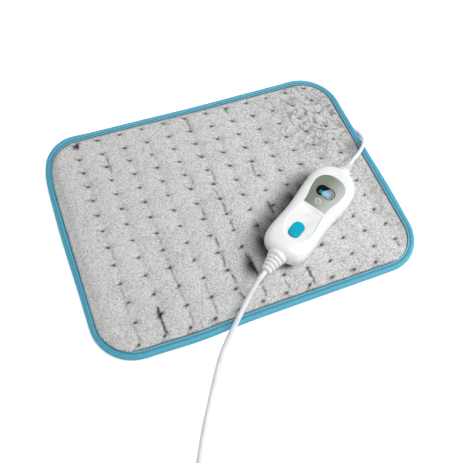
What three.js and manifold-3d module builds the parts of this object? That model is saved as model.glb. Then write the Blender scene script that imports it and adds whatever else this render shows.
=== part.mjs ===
// Electric heating pad: a quilted pad, a hand controller that lies on it, the lead between them, and a mains cord
// with its plug. Millimetres, +Z up. The pad lies on the plane z = 0, centred on the origin, long side along X.
import * as THREE from "three";
import { mergeVertices } from "three/addons/utils/BufferGeometryUtils.js";
import Module from "manifold-3d";

const wasm = await Module();
wasm.setup();

// Clearances
const GAP = 0.3; // between two pieces that are not joined
const SLIDE = 0.4; // around a piece that moves

// Pad, over its piping
const PAD_LENGTH = 400;
const PAD_WIDTH = 300;
const PAD_CORNER = 50;
const BEAD = 7; // diameter of the piping
const BEAD_LIFT = 0.3; // piping above the floor
const LIP_WIDTH = 2.2; // stitched lip on the inner side of the piping
const LIP_THICK = 1;
const LIP_DROP = 0.3; // lip below the top of the piping

// Layers of the pad, from the floor up
const BACK_THICK = 1;
const CARRIER_THICK = 0.6;
const HEATER = 1.8; // diameter of the heating wire
const WADDING_THICK = 2;
const TUFT_SKIN = 1; // cover left at the bottom of a tuft
const PUFF = 4.8; // height of a puff above a tuft
const CARRIER_INSET = 16; // carrier sheet and wadding from the pad's outer edge

// Quilting
const TUFT_COLUMNS = 12;
const TUFT_ROWS = 13;
const TUFTS_FROM_LEFT = 44.1; // first and last column from the ends of the pad
const TUFTS_FROM_RIGHT = 39.1;
const TUFTS_FROM_FRONT = 11.9; // first and last row from the sides of the pad
const TUFTS_FROM_BACK = 20.5;
const TUFT_MARGIN = 2.4; // least distance of a tuft from the edge of the cover
const DRAWN_IN = 15; // width over which the cover falls to its edge
const SEAM_ALONG = 0.62; // height of a puff between two tufts of one column
const SEAM_ACROSS = 0.86; // and between two tufts of one row

// Lead from the pad to the controller
const LEAD = 5; // diameter
const LEAD_ENTRY_Y = 53.5; // where its axis crosses the middle of the piping
const LEAD_TURN = THREE.MathUtils.degToRad(130); // direction in which it enters
const JOINT_INSIDE = 17; // joint block from the middle of the piping, along the lead
const JOINT_LENGTH = 16;
const JOINT_WIDTH = 12;
const END_SLEEVE_LENGTH = 9; // sleeve on the far end of the heating wire
const END_SLEEVE_WIDTH = 5;

// Controller: u runs from its tail to its head, v across, w up from its underside
const HANDSET_X = 81; // where its middle lies on the pad
const HANDSET_Y = -57;
const HANDSET_TURN = THREE.MathUtils.degToRad(32);
const HANDSET_LENGTH = 144;
const HANDSET_WIDTH = 59.4;
const HANDSET_HEIGHT = 26;
const PARTING = 13; // height of the joint between the two housings
const WALL = 2; // side walls
const END_WALL = 4; // walls that the boots pass through
const TOP_WALL = 3.6;
const FLOOR_WALL = 2.4;

// Display
const PANEL_LOW = 0.6; // lower edge of the panel, along u
const PANEL_FROM_HEAD = 21; // upper edge from the end of the housing
const PANEL_LOW_HALF = 14.2;
const PANEL_HIGH_HALF = 19.1;
const PANEL_THICK = 1.6;
const PANEL_DROP = 0.3; // panel below the top of the housing
const WINDOW_U = 26;
const WINDOW_ACROSS = 23.2;
const WINDOW_ALONG = 15.8;
const WINDOW_DROP = 0.15; // window below the face of the panel
const WINDOW_LEDGE = 1.5; // ledge of the housing under the rim of the window
const DISPLAY_SHY = 0.9; // face of the display below the window

// Button in its sunk field
const FIELD_HIGH = -1; // end of the field beside the panel, along u
const FIELD_FROM_TAIL = 18; // other end from the end of the housing
const FIELD_HALF = 16;
const FIELD_DEPTH = 1.6;
const BUTTON_FROM_TAIL = 35.4;
const BUTTON_LONG = 21.6;
const BUTTON_WIDE = 13.8;
const BUTTON_PROUD = 1.5; // above the field
const BUTTON_RIM = 2; // flange that keeps the button in
const BUTTON_RIM_THICK = 1.6;
const STEM = 5; // diameter of the button's stem
const BAR_U = -14.4; // raised bar that a finger can feel
const BAR_LONG = 6;
const BAR_WIDE = 1.2;
const BAR_HIGH = 0.5;

// Circuit board and what is on it
const BOARD_FROM_TAIL = 14; // ends of the board from the ends of the housing
const BOARD_FROM_HEAD = 16;
const BOARD_HALF = 14.4;
const BOARD_W = 8; // underside of the board
const BOARD_THICK = 1.6;
const POST_V = 10.8; // posts under the board
const POST_LOW_U = -26;
const POST_FROM_BOARD_END = 8; // other pair of posts from the end of the board
const POST = 5.4; // diameter
const FUSE = 7.6; // diameter and height
const FUSE_FROM_BOARD_END = 8;
const FILM_BOX_HIGH = 9; // film capacitor, low enough to pass under the button
const SWITCH = 6.2; // side of the switch body
const SWITCH_HIGH = 3.4;
const PLUNGER = 3.4; // diameter
const PLUNGER_HIGH = 3.1;
const PLUNGER_SUNK = 0.8; // plunger inside the switch at rest
const PLUNGER_WELL = 2.4; // depth of its hole

// Screws
const SCREW = 2.5;
const SCREW_HEAD = 5.2;
const SCREW_HEAD_HIGH = 1.8;
const SCREW_SINK = 4.6; // depth of the screw wells in the underside
const SCREW_BITE = 5; // length of screw in the upper housing
const BOSS = 7.2; // diameter
const BOSS_FROM_HEAD = 26; // from the ends of the housing
const BOSS_FROM_TAIL = 22;
const BOSS_V = 19.2;

// Boots
const SEAT = 1.1; // depth of the round seats in the ends of the housing
const RIBS = 5;
const RIB_GROOVE = 1.1; // depth of the grooves
const MAINS_BOOT = { base: 22, tip: 12, neck: 10, flange: 13.2, reach: 23.4 };
const LEAD_BOOT = { base: 13.4, tip: 7.6, neck: 7, flange: 10, reach: 17 };
const FLANGE_FROM_END = 8.4; // outer face of a flange from the end of the housing
const FLANGE_THICK = 2.2;
const CORE = 1.7; // diameter of the wires inside
const CORE_APART = 4.4;

// Mains cord, its coil and its plug
const CORD = 5.8; // diameter
const COIL_X = -121.5;
const COIL_Y = -326.5;
const COIL_START = THREE.MathUtils.degToRad(150); // where the cord comes in
const COIL_TURNS = 6 + 1 / 3;
const COIL_INNER = 23.6; // least radius of its turns
const COIL_GAP = 0.5; // between turns
const COIL_LEAD = 7; // straight ends
const COIL_FALL = 34; // length over which the end comes down to the plug
const TIE_TURN = THREE.MathUtils.degToRad(330);
const TIE_WIDE = 10;
const TIE_THICK = 0.9;
const TIE_SLACK = 0.9;
const PLUG_LENGTH = 36;
const PLUG_WIDE = 35;
const PLUG_NECK = 15; // width at the cord's end
const PLUG_THICK = 13.6;
const PLUG_ROUND = 1.6;
const PIN = 4; // diameter
const PIN_REACH = 19;
const PIN_APART = 18.8;
const PIN_BURIED = 4;
const SLEEVE_REACH = 10;
const SLEEVE_BORE = 3;
const PIN_SHANK = 2.4;
const PLUG_BOOT_REACH = 15;
const PLUG_BOOT_BASE = 10.6;
const PLUG_BOOT_TIP = 8.2;

// Heights in the pad
const CARRIER_Z = BACK_THICK + GAP;
const HEATER_Z = CARRIER_Z + CARRIER_THICK + GAP;
const WADDING_Z = HEATER_Z + HEATER + GAP;
const COVER_Z = WADDING_Z + WADDING_THICK + GAP;
const CROWN_Z = COVER_Z + TUFT_SKIN + PUFF;
const BEAD_Z = BEAD_LIFT + BEAD / 2;
const COVER_INSET = BEAD + LIP_WIDTH + GAP;
const BACK_INSET = BEAD - 0.8;

// Places along the controller, and its heights
const HALF_LENGTH = HANDSET_LENGTH / 2;
const HALF_WIDTH = HANDSET_WIDTH / 2;
const PANEL_HIGH = HALF_LENGTH - PANEL_FROM_HEAD;
const FIELD_LOW = FIELD_FROM_TAIL - HALF_LENGTH;
const BUTTON_U = BUTTON_FROM_TAIL - HALF_LENGTH;
const BOARD_LOW = BOARD_FROM_TAIL - HALF_LENGTH;
const BOARD_HIGH = HALF_LENGTH - BOARD_FROM_HEAD;
const POST_HIGH_U = BOARD_HIGH - POST_FROM_BOARD_END;
const BOSS_HEAD_U = HALF_LENGTH - BOSS_FROM_HEAD;
const BOSS_TAIL_U = BOSS_FROM_TAIL - HALF_LENGTH;
const CEILING = HANDSET_HEIGHT - TOP_WALL;
const PANEL_W = HANDSET_HEIGHT - PANEL_DROP - PANEL_THICK;
const FIELD_W = HANDSET_HEIGHT - FIELD_DEPTH;
const BOARD_TOP = BOARD_W + BOARD_THICK;
const PART_W = BOARD_TOP + GAP;
const AXIS_Z = CROWN_Z + GAP + PARTING;

// Plain geometry helpers

// Closed, outward facing geometry with nothing but positions
function closed(geometry) {
  const bare = new THREE.BufferGeometry();
  bare.setAttribute("position", geometry.getAttribute("position").clone());
  if (geometry.index) bare.setIndex(geometry.index.clone());
  const merged = mergeVertices(bare, 1e-4);
  const position = merged.getAttribute("position");
  const corners = [];
  let volume = 0;
  const a = new THREE.Vector3();
  const b = new THREE.Vector3();
  const c = new THREE.Vector3();
  for (let i = 0; i < merged.index.count; i += 3) {
    const [p, q, r] = [0, 1, 2].map((k) => merged.index.getX(i + k));
    if (p === q || q === r || r === p) continue;
    corners.push(p, q, r);
    a.fromBufferAttribute(position, p);
    b.fromBufferAttribute(position, q);
    c.fromBufferAttribute(position, r);
    volume += a.dot(b.cross(c));
  }
  if (volume < 0) corners.reverse();
  merged.setIndex(corners);
  return merged;
}

function solid(geometry) {
  const shell = closed(geometry);
  return new wasm.Manifold(
    new wasm.Mesh({
      numProp: 3,
      vertProperties: new Float32Array(shell.getAttribute("position").array),
      triVerts: new Uint32Array(shell.index.array),
    }),
  );
}

function geometryOf(body) {
  const mesh = body.getMesh();
  const geometry = new THREE.BufferGeometry();
  geometry.setAttribute("position", new THREE.BufferAttribute(mesh.vertProperties, 3));
  geometry.setIndex(new THREE.BufferAttribute(mesh.triVerts, 1));
  return geometry;
}

// First geometry with the others taken away from it
function cut(first, ...others) {
  return geometryOf(others.reduce((body, tool) => body.subtract(solid(tool)), solid(first)));
}

function join(...parts) {
  return geometryOf(parts.map(solid).reduce((body, part) => body.add(part)));
}

function overlap(first, second) {
  return geometryOf(solid(first).intersect(solid(second)));
}

// Box between two heights, centred on (x, y)
function block(x, y, z0, z1, alongX, alongY) {
  return new THREE.BoxGeometry(alongX, alongY, z1 - z0).translate(x, y, (z0 + z1) / 2);
}

// Upright round rod between two heights
function rod(x, y, z0, z1, diameter, sides = 14) {
  const geometry = new THREE.CylinderGeometry(diameter / 2, diameter / 2, z1 - z0, sides);
  return geometry.rotateX(Math.PI / 2).translate(x, y, (z0 + z1) / 2);
}

// Round rod along u between two ends, at one height
function lyingRod(u0, u1, w, diameter, sides = 18) {
  const geometry = new THREE.CylinderGeometry(diameter / 2, diameter / 2, u1 - u0, sides);
  return geometry.rotateZ(-Math.PI / 2).translate((u0 + u1) / 2, 0, w);
}

// Flat plate of a shape between two heights
function plate(shape, z0, z1, curveSegments = 5) {
  const options = { depth: z1 - z0, bevelEnabled: false, curveSegments };
  return new THREE.ExtrudeGeometry(shape, options).translate(0, 0, z0);
}

// Turned body about +Z from [radius, height] pairs that start and end on the axis
function turned(profile, sides = 20) {
  const points = profile.map(([radius, height]) => new THREE.Vector2(radius, height));
  return new THREE.LatheGeometry(points, sides).rotateX(Math.PI / 2);
}

// Rectangle with round corners, centred on (x, y)
function roundedRectangle(x, y, halfX, halfY, radius) {
  const shape = new THREE.Shape();
  shape.absarc(x + halfX - radius, y + halfY - radius, radius, 0, Math.PI / 2);
  shape.absarc(x - halfX + radius, y + halfY - radius, radius, Math.PI / 2, Math.PI);
  shape.absarc(x - halfX + radius, y - halfY + radius, radius, Math.PI, 1.5 * Math.PI);
  shape.absarc(x + halfX - radius, y - halfY + radius, radius, 1.5 * Math.PI, 2 * Math.PI);
  shape.closePath();
  return shape;
}

// Outline of the pad, moved inwards
function padShape(inset) {
  return roundedRectangle(0, 0, PAD_LENGTH / 2 - inset, PAD_WIDTH / 2 - inset, PAD_CORNER - inset);
}

// Body through rings of points that turn anticlockwise seen from above, lowest first, closed by flat ends
function loft(rings) {
  const count = rings[0].length;
  const points = rings.flat();
  const index = [];
  for (let r = 0; r + 1 < rings.length; r += 1) {
    for (let i = 0; i < count; i += 1) {
      const a = r * count + i;
      const b = r * count + ((i + 1) % count);
      index.push(a, b, b + count, a, b + count, a + count);
    }
  }
  [rings[0], rings[rings.length - 1]].forEach((ring, end) => {
    const first = end * (rings.length - 1) * count;
    const middle = ring.reduce((sum, p) => sum.add(p), new THREE.Vector3()).divideScalar(count);
    const centre = points.push(middle) - 1;
    for (let i = 0; i < count; i += 1) {
      const a = first + i;
      const b = first + ((i + 1) % count);
      if (end) index.push(centre, a, b);
      else index.push(centre, b, a);
    }
  });
  return new THREE.BufferGeometry().setFromPoints(points).setIndex(index);
}

// Tube through points of a path that nowhere stands upright
function tubeThrough(path, diameter, sides) {
  const up = new THREE.Vector3(0, 0, 1);
  const rings = path.map((point, i) => {
    const before = path[Math.max(i - 1, 0)];
    const after = path[Math.min(i + 1, path.length - 1)];
    const ahead = new THREE.Vector3().subVectors(after, before).normalize();
    const side = new THREE.Vector3().crossVectors(ahead, up).normalize();
    const over = new THREE.Vector3().crossVectors(side, ahead);
    return Array.from({ length: sides }, (_, k) => {
      const turn = (2 * Math.PI * k) / sides;
      return point
        .clone()
        .addScaledVector(side, (Math.cos(turn) * diameter) / 2)
        .addScaledVector(over, (Math.sin(turn) * diameter) / 2);
    });
  });
  return loft(rings);
}

// Tube along a smooth curve through points
function cordThrough(points, diameter, sides, steps) {
  const section = new THREE.Shape();
  for (let k = 0; k < sides; k += 1) {
    const turn = (2 * Math.PI * k) / sides;
    const [x, y] = [(Math.cos(turn) * diameter) / 2, (Math.sin(turn) * diameter) / 2];
    if (k) section.lineTo(x, y);
    else section.moveTo(x, y);
  }
  section.closePath();
  const extrudePath = new THREE.CatmullRomCurve3(points, false, "centripetal");
  return new THREE.ExtrudeGeometry(section, { steps, extrudePath, bevelEnabled: false });
}

const vector = ([x, y, z]) => new THREE.Vector3(x, y, z);

// Colours and surfaces
const FINISH = {
  plush: { color: 0xcfd0cf, roughness: 0.95, metalness: 0 },
  backing: { color: 0xc2c3c3, roughness: 0.95, metalness: 0 },
  piping: { color: 0x55b4d0, roughness: 0.7, metalness: 0 },
  wadding: { color: 0xf2f1ec, roughness: 1, metalness: 0 },
  felt: { color: 0xe6e3da, roughness: 1, metalness: 0 },
  silicone: { color: 0xd8cfc0, roughness: 0.6, metalness: 0 },
  housing: { color: 0xf2f3f2, roughness: 0.35, metalness: 0 },
  panel: { color: 0x9dab9f, roughness: 0.3, metalness: 0 },
  window: { color: 0x1b2a38, roughness: 0.1, metalness: 0 },
  display: { color: 0x8fc8ff, roughness: 0.4, metalness: 0 },
  button: { color: 0x00a9c6, roughness: 0.4, metalness: 0 },
  cordJacket: { color: 0xececea, roughness: 0.5, metalness: 0 },
  board: { color: 0x2d6b45, roughness: 0.6, metalness: 0 },
  darkMoulding: { color: 0x26282a, roughness: 0.5, metalness: 0 },
  filmBox: { color: 0xc8b23a, roughness: 0.5, metalness: 0 },
  aluminium: { color: 0xb9bcc0, roughness: 0.4, metalness: 0.9 },
  zinc: { color: 0xbfc2c4, roughness: 0.35, metalness: 1 },
  brass: { color: 0xcdb68a, roughness: 0.3, metalness: 1 },
  live: { color: 0x7a4a2b, roughness: 0.5, metalness: 0 },
  neutral: { color: 0x2f66b0, roughness: 0.5, metalness: 0 },
  strap: { color: 0x303236, roughness: 0.9, metalness: 0 },
};

function add(parent, name, geometry, finish) {
  const shell = closed(geometry).toNonIndexed();
  shell.computeVertexNormals();
  const mesh = new THREE.Mesh(shell, new THREE.MeshStandardMaterial(finish));
  mesh.name = name;
  parent.add(mesh);
}

// Pad

// How far a point lies inside the edge of the top cover
function insideCover(x, y) {
  const radius = PAD_CORNER - COVER_INSET;
  const dx = Math.abs(x) - (PAD_LENGTH / 2 - PAD_CORNER);
  const dy = Math.abs(y) - (PAD_WIDTH / 2 - PAD_CORNER);
  return radius - Math.hypot(Math.max(dx, 0), Math.max(dy, 0)) - Math.min(Math.max(dx, dy), 0);
}

const TUFT_PITCH_X = (PAD_LENGTH - TUFTS_FROM_LEFT - TUFTS_FROM_RIGHT) / (TUFT_COLUMNS - 1);
const TUFT_PITCH_Y = (PAD_WIDTH - TUFTS_FROM_FRONT - TUFTS_FROM_BACK) / (TUFT_ROWS - 1);
const tuftX = (column) => TUFTS_FROM_LEFT - PAD_LENGTH / 2 + column * TUFT_PITCH_X;
const tuftY = (row) => TUFTS_FROM_FRONT - PAD_WIDTH / 2 + row * TUFT_PITCH_Y;

// Lines of the cover's net in one direction: at the tufts, halfway between them, and near both edges
function netLines(at, count, half) {
  const lines = [];
  for (let i = -0.5; i < count; i += 0.5) lines.push(at(i));
  const inner = lines.filter((line) => Math.abs(line) < half - 2);
  const clear = (edge) => inner.every((line) => Math.abs(line - edge) > 3.5);
  const near = [half - 1.5, half - DRAWN_IN / 2].flatMap((edge) => [edge, -edge]).filter(clear);
  const net = [...inner, ...near, half + 1, -half - 1];
  return net.sort((a, b) => a - b);
}

function coverHeight(x, y) {
  const inside = Math.max(insideCover(x, y), 0);
  const rise = Math.min(inside / DRAWN_IN, 1);
  const crown = Math.sqrt(1 - (1 - rise) ** 2);
  const column = (x - tuftX(0)) / TUFT_PITCH_X;
  const row = (y - tuftY(0)) / TUFT_PITCH_Y;
  const onColumn = Math.abs(column - Math.round(column)) < 0.1;
  const onRow = Math.abs(row - Math.round(row)) < 0.1;
  let puff = 1;
  if (onColumn && onRow) puff = inside > TUFT_MARGIN ? 0 : 1;
  else if (onColumn) puff = SEAM_ALONG;
  else if (onRow) puff = SEAM_ACROSS;
  return COVER_Z + TUFT_SKIN + PUFF * crown * puff;
}

// Top cover with its filling: a net of puffs and tufts, cut to the round-cornered outline of the pad
function topCover() {
  const xs = netLines(tuftX, TUFT_COLUMNS, PAD_LENGTH / 2 - COVER_INSET);
  const ys = netLines(tuftY, TUFT_ROWS, PAD_WIDTH / 2 - COVER_INSET);
  const low = COVER_Z - 1;
  const points = [];
  const index = [];
  const at = (i, j) => j * xs.length + i;
  ys.forEach((y) => xs.forEach((x) => points.push(new THREE.Vector3(x, y, coverHeight(x, y)))));
  for (let j = 0; j + 1 < ys.length; j += 1) {
    for (let i = 0; i + 1 < xs.length; i += 1) {
      const [a, b, c, d] = [at(i, j), at(i + 1, j), at(i + 1, j + 1), at(i, j + 1)];
      if ((i + j) % 2) index.push(a, b, c, a, c, d);
      else index.push(a, b, d, b, c, d);
    }
  }
  const rim = [];
  for (let i = 0; i + 1 < xs.length; i += 1) rim.push(at(i, 0));
  for (let j = 0; j + 1 < ys.length; j += 1) rim.push(at(xs.length - 1, j));
  for (let i = xs.length - 1; i > 0; i -= 1) rim.push(at(i, ys.length - 1));
  for (let j = ys.length - 1; j > 0; j -= 1) rim.push(at(0, j));
  const feet = rim.map((top) => points.push(points[top].clone().setZ(low)) - 1);
  const middle = points.push(new THREE.Vector3(0, 0, low)) - 1;
  rim.forEach((top, k) => {
    const next = (k + 1) % rim.length;
    index.push(top, feet[k], feet[next], top, feet[next], rim[next], middle, feet[next], feet[k]);
  });
  const net = new THREE.BufferGeometry().setFromPoints(points).setIndex(index);
  return overlap(net, plate(padShape(COVER_INSET), COVER_Z, CROWN_Z + 1, 8));
}

// Where the lead passes through the piping, and a frame along it for the pieces inside
const entry = new THREE.Vector3(PAD_LENGTH / 2 - BEAD / 2, LEAD_ENTRY_Y, BEAD_Z);
const inward = new THREE.Vector3(Math.cos(LEAD_TURN), Math.sin(LEAD_TURN), 0);
const alongLead = (distance) => entry.clone().addScaledVector(inward, distance);

// Piping: a round bead with a flat lip, swept round the pad, with a hole for the lead
function piping() {
  const radius = BEAD / 2;
  const lipTop = BEAD_LIFT + BEAD - LIP_DROP;
  const lipLow = lipTop - LIP_THICK;
  const onBead = (z) => Math.PI - Math.asin((z - BEAD_Z) / radius);
  const from = onBead(lipLow);
  const sweep = 2 * Math.PI - (onBead(lipLow) - onBead(lipTop));
  const section = [[-radius - LIP_WIDTH, lipTop], [-radius - LIP_WIDTH, lipLow]];
  const sides = 11;
  for (let k = 0; k <= sides; k += 1) {
    const turn = from + (sweep * k) / sides;
    section.push([radius * Math.cos(turn), BEAD_Z + radius * Math.sin(turn)]);
  }
  const corners = [[1, 1], [-1, 1], [-1, -1], [1, -1]];
  const steps = 8;
  const points = [];
  corners.forEach(([sx, sy], corner) => {
    for (let k = 0; k <= steps; k += 1) {
      const turn = (corner + k / steps) * (Math.PI / 2);
      section.forEach(([out, z]) => {
        const reach = PAD_CORNER - radius + out;
        const x = sx * (PAD_LENGTH / 2 - PAD_CORNER) + reach * Math.cos(turn);
        const y = sy * (PAD_WIDTH / 2 - PAD_CORNER) + reach * Math.sin(turn);
        points.push(new THREE.Vector3(x, y, z));
      });
    }
  });
  const count = section.length;
  const index = [];
  for (let i = 0; i < points.length / count; i += 1) {
    for (let k = 0; k < count; k += 1) {
      const next = (k + 1) % count;
      const ahead = (i + 1) % (points.length / count);
      const [a, b] = [i * count + k, i * count + next];
      const [c, d] = [ahead * count + next, ahead * count + k];
      index.push(a, b, c, a, c, d);
    }
  }
  const ring = new THREE.BufferGeometry().setFromPoints(points).setIndex(index);
  const hole = new THREE.CylinderGeometry(LEAD / 2 + GAP, LEAD / 2 + GAP, 4 * BEAD, 16);
  hole.rotateZ(Math.PI / 2).rotateZ(LEAD_TURN).translate(entry.x, entry.y, entry.z);
  return cut(ring, hole);
}

// Joint block between the lead and the heating wire, turned to the lead
function jointBlock(grow) {
  const middle = alongLead(JOINT_INSIDE + JOINT_LENGTH / 2);
  const height = COVER_Z - GAP - HEATER_Z + 2 * grow;
  const geometry = new THREE.BoxGeometry(JOINT_LENGTH + 2 * grow, JOINT_WIDTH + 2 * grow, height);
  return geometry.rotateZ(LEAD_TURN).translate(middle.x, middle.y, HEATER_Z + height / 2 - grow);
}

// Room that the lead needs inside the pad
function leadRoom() {
  const middle = alongLead(JOINT_INSIDE / 2);
  const width = LEAD + 2 * GAP;
  const geometry = new THREE.BoxGeometry(JOINT_INSIDE + 2, width, 3 * width).rotateZ(LEAD_TURN);
  return geometry.translate(middle.x, middle.y, middle.z);
}

// Heating wire: out of the side of the joint block, then up and down between the columns of tufts
const heaterLow = tuftY(0) + 0.8 * TUFT_PITCH_Y;
const heaterHigh = tuftY(TUFT_ROWS - 1) - 0.65 * TUFT_PITCH_Y;
const heaterX = (run) => tuftX(TUFT_COLUMNS - 0.5 - run);

function heaterPath() {
  const z = HEATER_Z + HEATER / 2;
  const path = [];
  const side = LEAD_TURN + Math.PI / 2;
  const start = alongLead(JOINT_INSIDE + JOINT_LENGTH / 4);
  const out = JOINT_WIDTH / 2 + GAP;
  start.add(new THREE.Vector3(Math.cos(side) * out, Math.sin(side) * out, 0));
  path.push(start.clone());
  const down = 1.5 * Math.PI;
  const bend = (start.x - heaterX(0)) / (1 + Math.sin(side));
  for (let k = 1; k <= 5; k += 1) {
    const turn = side + ((down - side) * k) / 5;
    const x = start.x + bend * (Math.sin(turn) - Math.sin(side));
    const y = start.y - bend * (Math.cos(turn) - Math.cos(side));
    path.push(new THREE.Vector3(x, y, 0));
  }
  const radius = TUFT_PITCH_X / 2;
  for (let run = 0; run < TUFT_COLUMNS; run += 1) {
    const goesDown = run % 2 === 0;
    const y = goesDown ? heaterLow : heaterHigh;
    const middle = heaterX(run) - radius;
    for (let k = 0; k <= 6; k += 1) {
      const turn = (Math.PI * k) / 6;
      const rise = (goesDown ? -1 : 1) * radius * Math.sin(turn);
      path.push(new THREE.Vector3(middle + radius * Math.cos(turn), y + rise, 0));
    }
  }
  const last = TUFT_COLUMNS % 2 === 0 ? heaterLow : heaterHigh;
  path.push(new THREE.Vector3(heaterX(TUFT_COLUMNS), last, 0));
  return path.map((point) => point.setZ(z));
}

function addPad(parent) {
  const back = plate(padShape(BACK_INSET), 0, BACK_THICK, 8);
  add(parent, "bottom_cover", back, FINISH.backing);
  const carrier = plate(padShape(CARRIER_INSET), CARRIER_Z, CARRIER_Z + CARRIER_THICK);
  add(parent, "wire_carrier", cut(carrier, leadRoom()), FINISH.felt);
  const path = heaterPath();
  add(parent, "heating_wire", tubeThrough(path, HEATER, 6), FINISH.silicone);
  const end = path[path.length - 1];
  const towards = TUFT_COLUMNS % 2 === 0 ? -1 : 1;
  const sleeveY = end.y + towards * (GAP + END_SLEEVE_LENGTH / 2);
  const sleeve = block(end.x, sleeveY, HEATER_Z, HEATER_Z + HEATER, END_SLEEVE_WIDTH, END_SLEEVE_LENGTH);
  add(parent, "wire_end_sleeve", sleeve, FINISH.silicone);
  add(parent, "lead_joint_block", jointBlock(0), FINISH.cordJacket);
  const wadding = plate(padShape(CARRIER_INSET), WADDING_Z, WADDING_Z + WADDING_THICK, 8);
  add(parent, "wadding", cut(wadding, jointBlock(GAP), leadRoom()), FINISH.wadding);
  add(parent, "top_cover", topCover(), FINISH.plush);
  add(parent, "edge_piping", piping(), FINISH.piping);
}

// Controller

// Outline of the controller, anticlockwise from the middle of its tail
function handsetOutline(halfLength, halfWidth) {
  const at = (u, v) => new THREE.Vector2(u * halfLength, -v * halfWidth);
  const tail = [at(-1, 0), at(-1.01, 0.64), at(-0.93, 0.94), at(-0.64, 0.94)];
  const waist = [at(-0.64, 0.94), at(-0.46, 0.94), at(-0.36, 0.9), at(-0.17, 0.9)];
  const neck = [at(-0.17, 0.9), at(0.05, 0.9), at(0.28, 1), at(0.53, 1)];
  const head = [at(0.53, 1), at(0.81, 1), at(1, 0.57), at(1, 0)];
  const side = [tail, waist, neck, head].flatMap((points) => {
    const curve = new THREE.CubicBezierCurve(...points);
    return curve.getPoints(5).slice(0, -1);
  });
  const other = side.slice(1).reverse();
  return [...side, at(1, 0), ...other.map((point) => new THREE.Vector2(point.x, -point.y))];
}

// Rounding of the housings: [share of the height, share of the half width that is lost]
const UPPER_ROUNDING = [[0, 0], [0.27, 0.006], [0.53, 0.05], [0.74, 0.125], [0.88, 0.24], [0.955, 0.38],
  [0.99, 0.6], [1, 0.85]];
const LOWER_ROUNDING = [[0, 0], [0.35, 0.01], [0.66, 0.06], [0.88, 0.15], [1, 0.28]];

function handsetDome(rounding, halfLength, halfWidth, from, to) {
  const rings = rounding.map(([share, lost]) => {
    const inset = lost * halfWidth;
    const height = from + share * (to - from);
    const outline = handsetOutline(halfLength - inset, halfWidth - inset);
    return outline.map((point) => new THREE.Vector3(point.x, point.y, height));
  });
  return loft(to > from ? rings : rings.reverse());
}

// Outline of the display panel, grown all round
function panelShape(grow) {
  const low = PANEL_LOW - grow;
  const high = PANEL_HIGH + grow;
  const lowHalf = PANEL_LOW_HALF + grow;
  const half = PANEL_HIGH_HALF + grow;
  const long = high - low;
  const wide = low + 0.64 * long;
  const shape = new THREE.Shape();
  shape.moveTo(low, -lowHalf);
  shape.bezierCurveTo(low + 0.24 * long, -lowHalf, low + 0.42 * long, -half, wide, -half);
  shape.bezierCurveTo(low + 0.88 * long, -half, high, -0.58 * half, high, 0);
  shape.bezierCurveTo(high, 0.58 * half, low + 0.88 * long, half, wide, half);
  shape.bezierCurveTo(low + 0.42 * long, half, low + 0.24 * long, lowHalf, low, lowHalf);
  shape.closePath();
  return shape;
}

// Sunk field of the button, a tongue that goes on from the panel
function fieldShape() {
  const long = FIELD_HIGH - FIELD_LOW;
  const wide = FIELD_HIGH - 0.58 * long;
  const half = FIELD_HALF;
  const shape = new THREE.Shape();
  shape.moveTo(FIELD_HIGH, 0.94 * half);
  shape.bezierCurveTo(FIELD_HIGH - 0.2 * long, 1.02 * half, FIELD_HIGH - 0.4 * long, 1.04 * half, wide, 0.98 * half);
  shape.bezierCurveTo(FIELD_HIGH - 0.84 * long, 0.9 * half, FIELD_LOW, 0.56 * half, FIELD_LOW, 0);
  shape.bezierCurveTo(FIELD_LOW, -0.56 * half, FIELD_HIGH - 0.84 * long, -0.9 * half, wide, -0.98 * half);
  shape.bezierCurveTo(
    FIELD_HIGH - 0.4 * long, -1.04 * half, FIELD_HIGH - 0.2 * long, -1.02 * half, FIELD_HIGH, -0.94 * half,
  );
  shape.closePath();
  return shape;
}

function windowShape(grow) {
  const along = WINDOW_ALONG / 2 + grow;
  return roundedRectangle(WINDOW_U, 0, along, WINDOW_ACROSS / 2 + grow, 0.9 * along);
}

function buttonShape(grow) {
  const across = BUTTON_WIDE / 2 + grow;
  return roundedRectangle(BUTTON_U, 0, BUTTON_LONG / 2 + grow, across, 0.95 * across);
}

const bossPlaces = [BOSS_HEAD_U, BOSS_TAIL_U].flatMap((u) => [[u, BOSS_V], [u, -BOSS_V]]);
const postPlaces = [POST_HIGH_U, POST_LOW_U].flatMap((u) => [[u, POST_V], [u, -POST_V]]);
const boardScrews = [postPlaces[0], postPlaces[3]];

// Room for the two boots in the ends of a housing
function bootRooms() {
  const end = HALF_LENGTH + 5;
  const seat = HALF_LENGTH - SEAT;
  const inside = HALF_LENGTH - END_WALL - 6;
  return [
    lyingRod(-end, -inside, PARTING, MAINS_BOOT.neck + 2 * GAP),
    lyingRod(-end, -seat, PARTING, MAINS_BOOT.base + 2 * GAP),
    lyingRod(inside, end, PARTING, LEAD_BOOT.neck + 2 * GAP),
    lyingRod(seat, end, PARTING, LEAD_BOOT.base + 2 * GAP),
  ];
}

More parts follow.
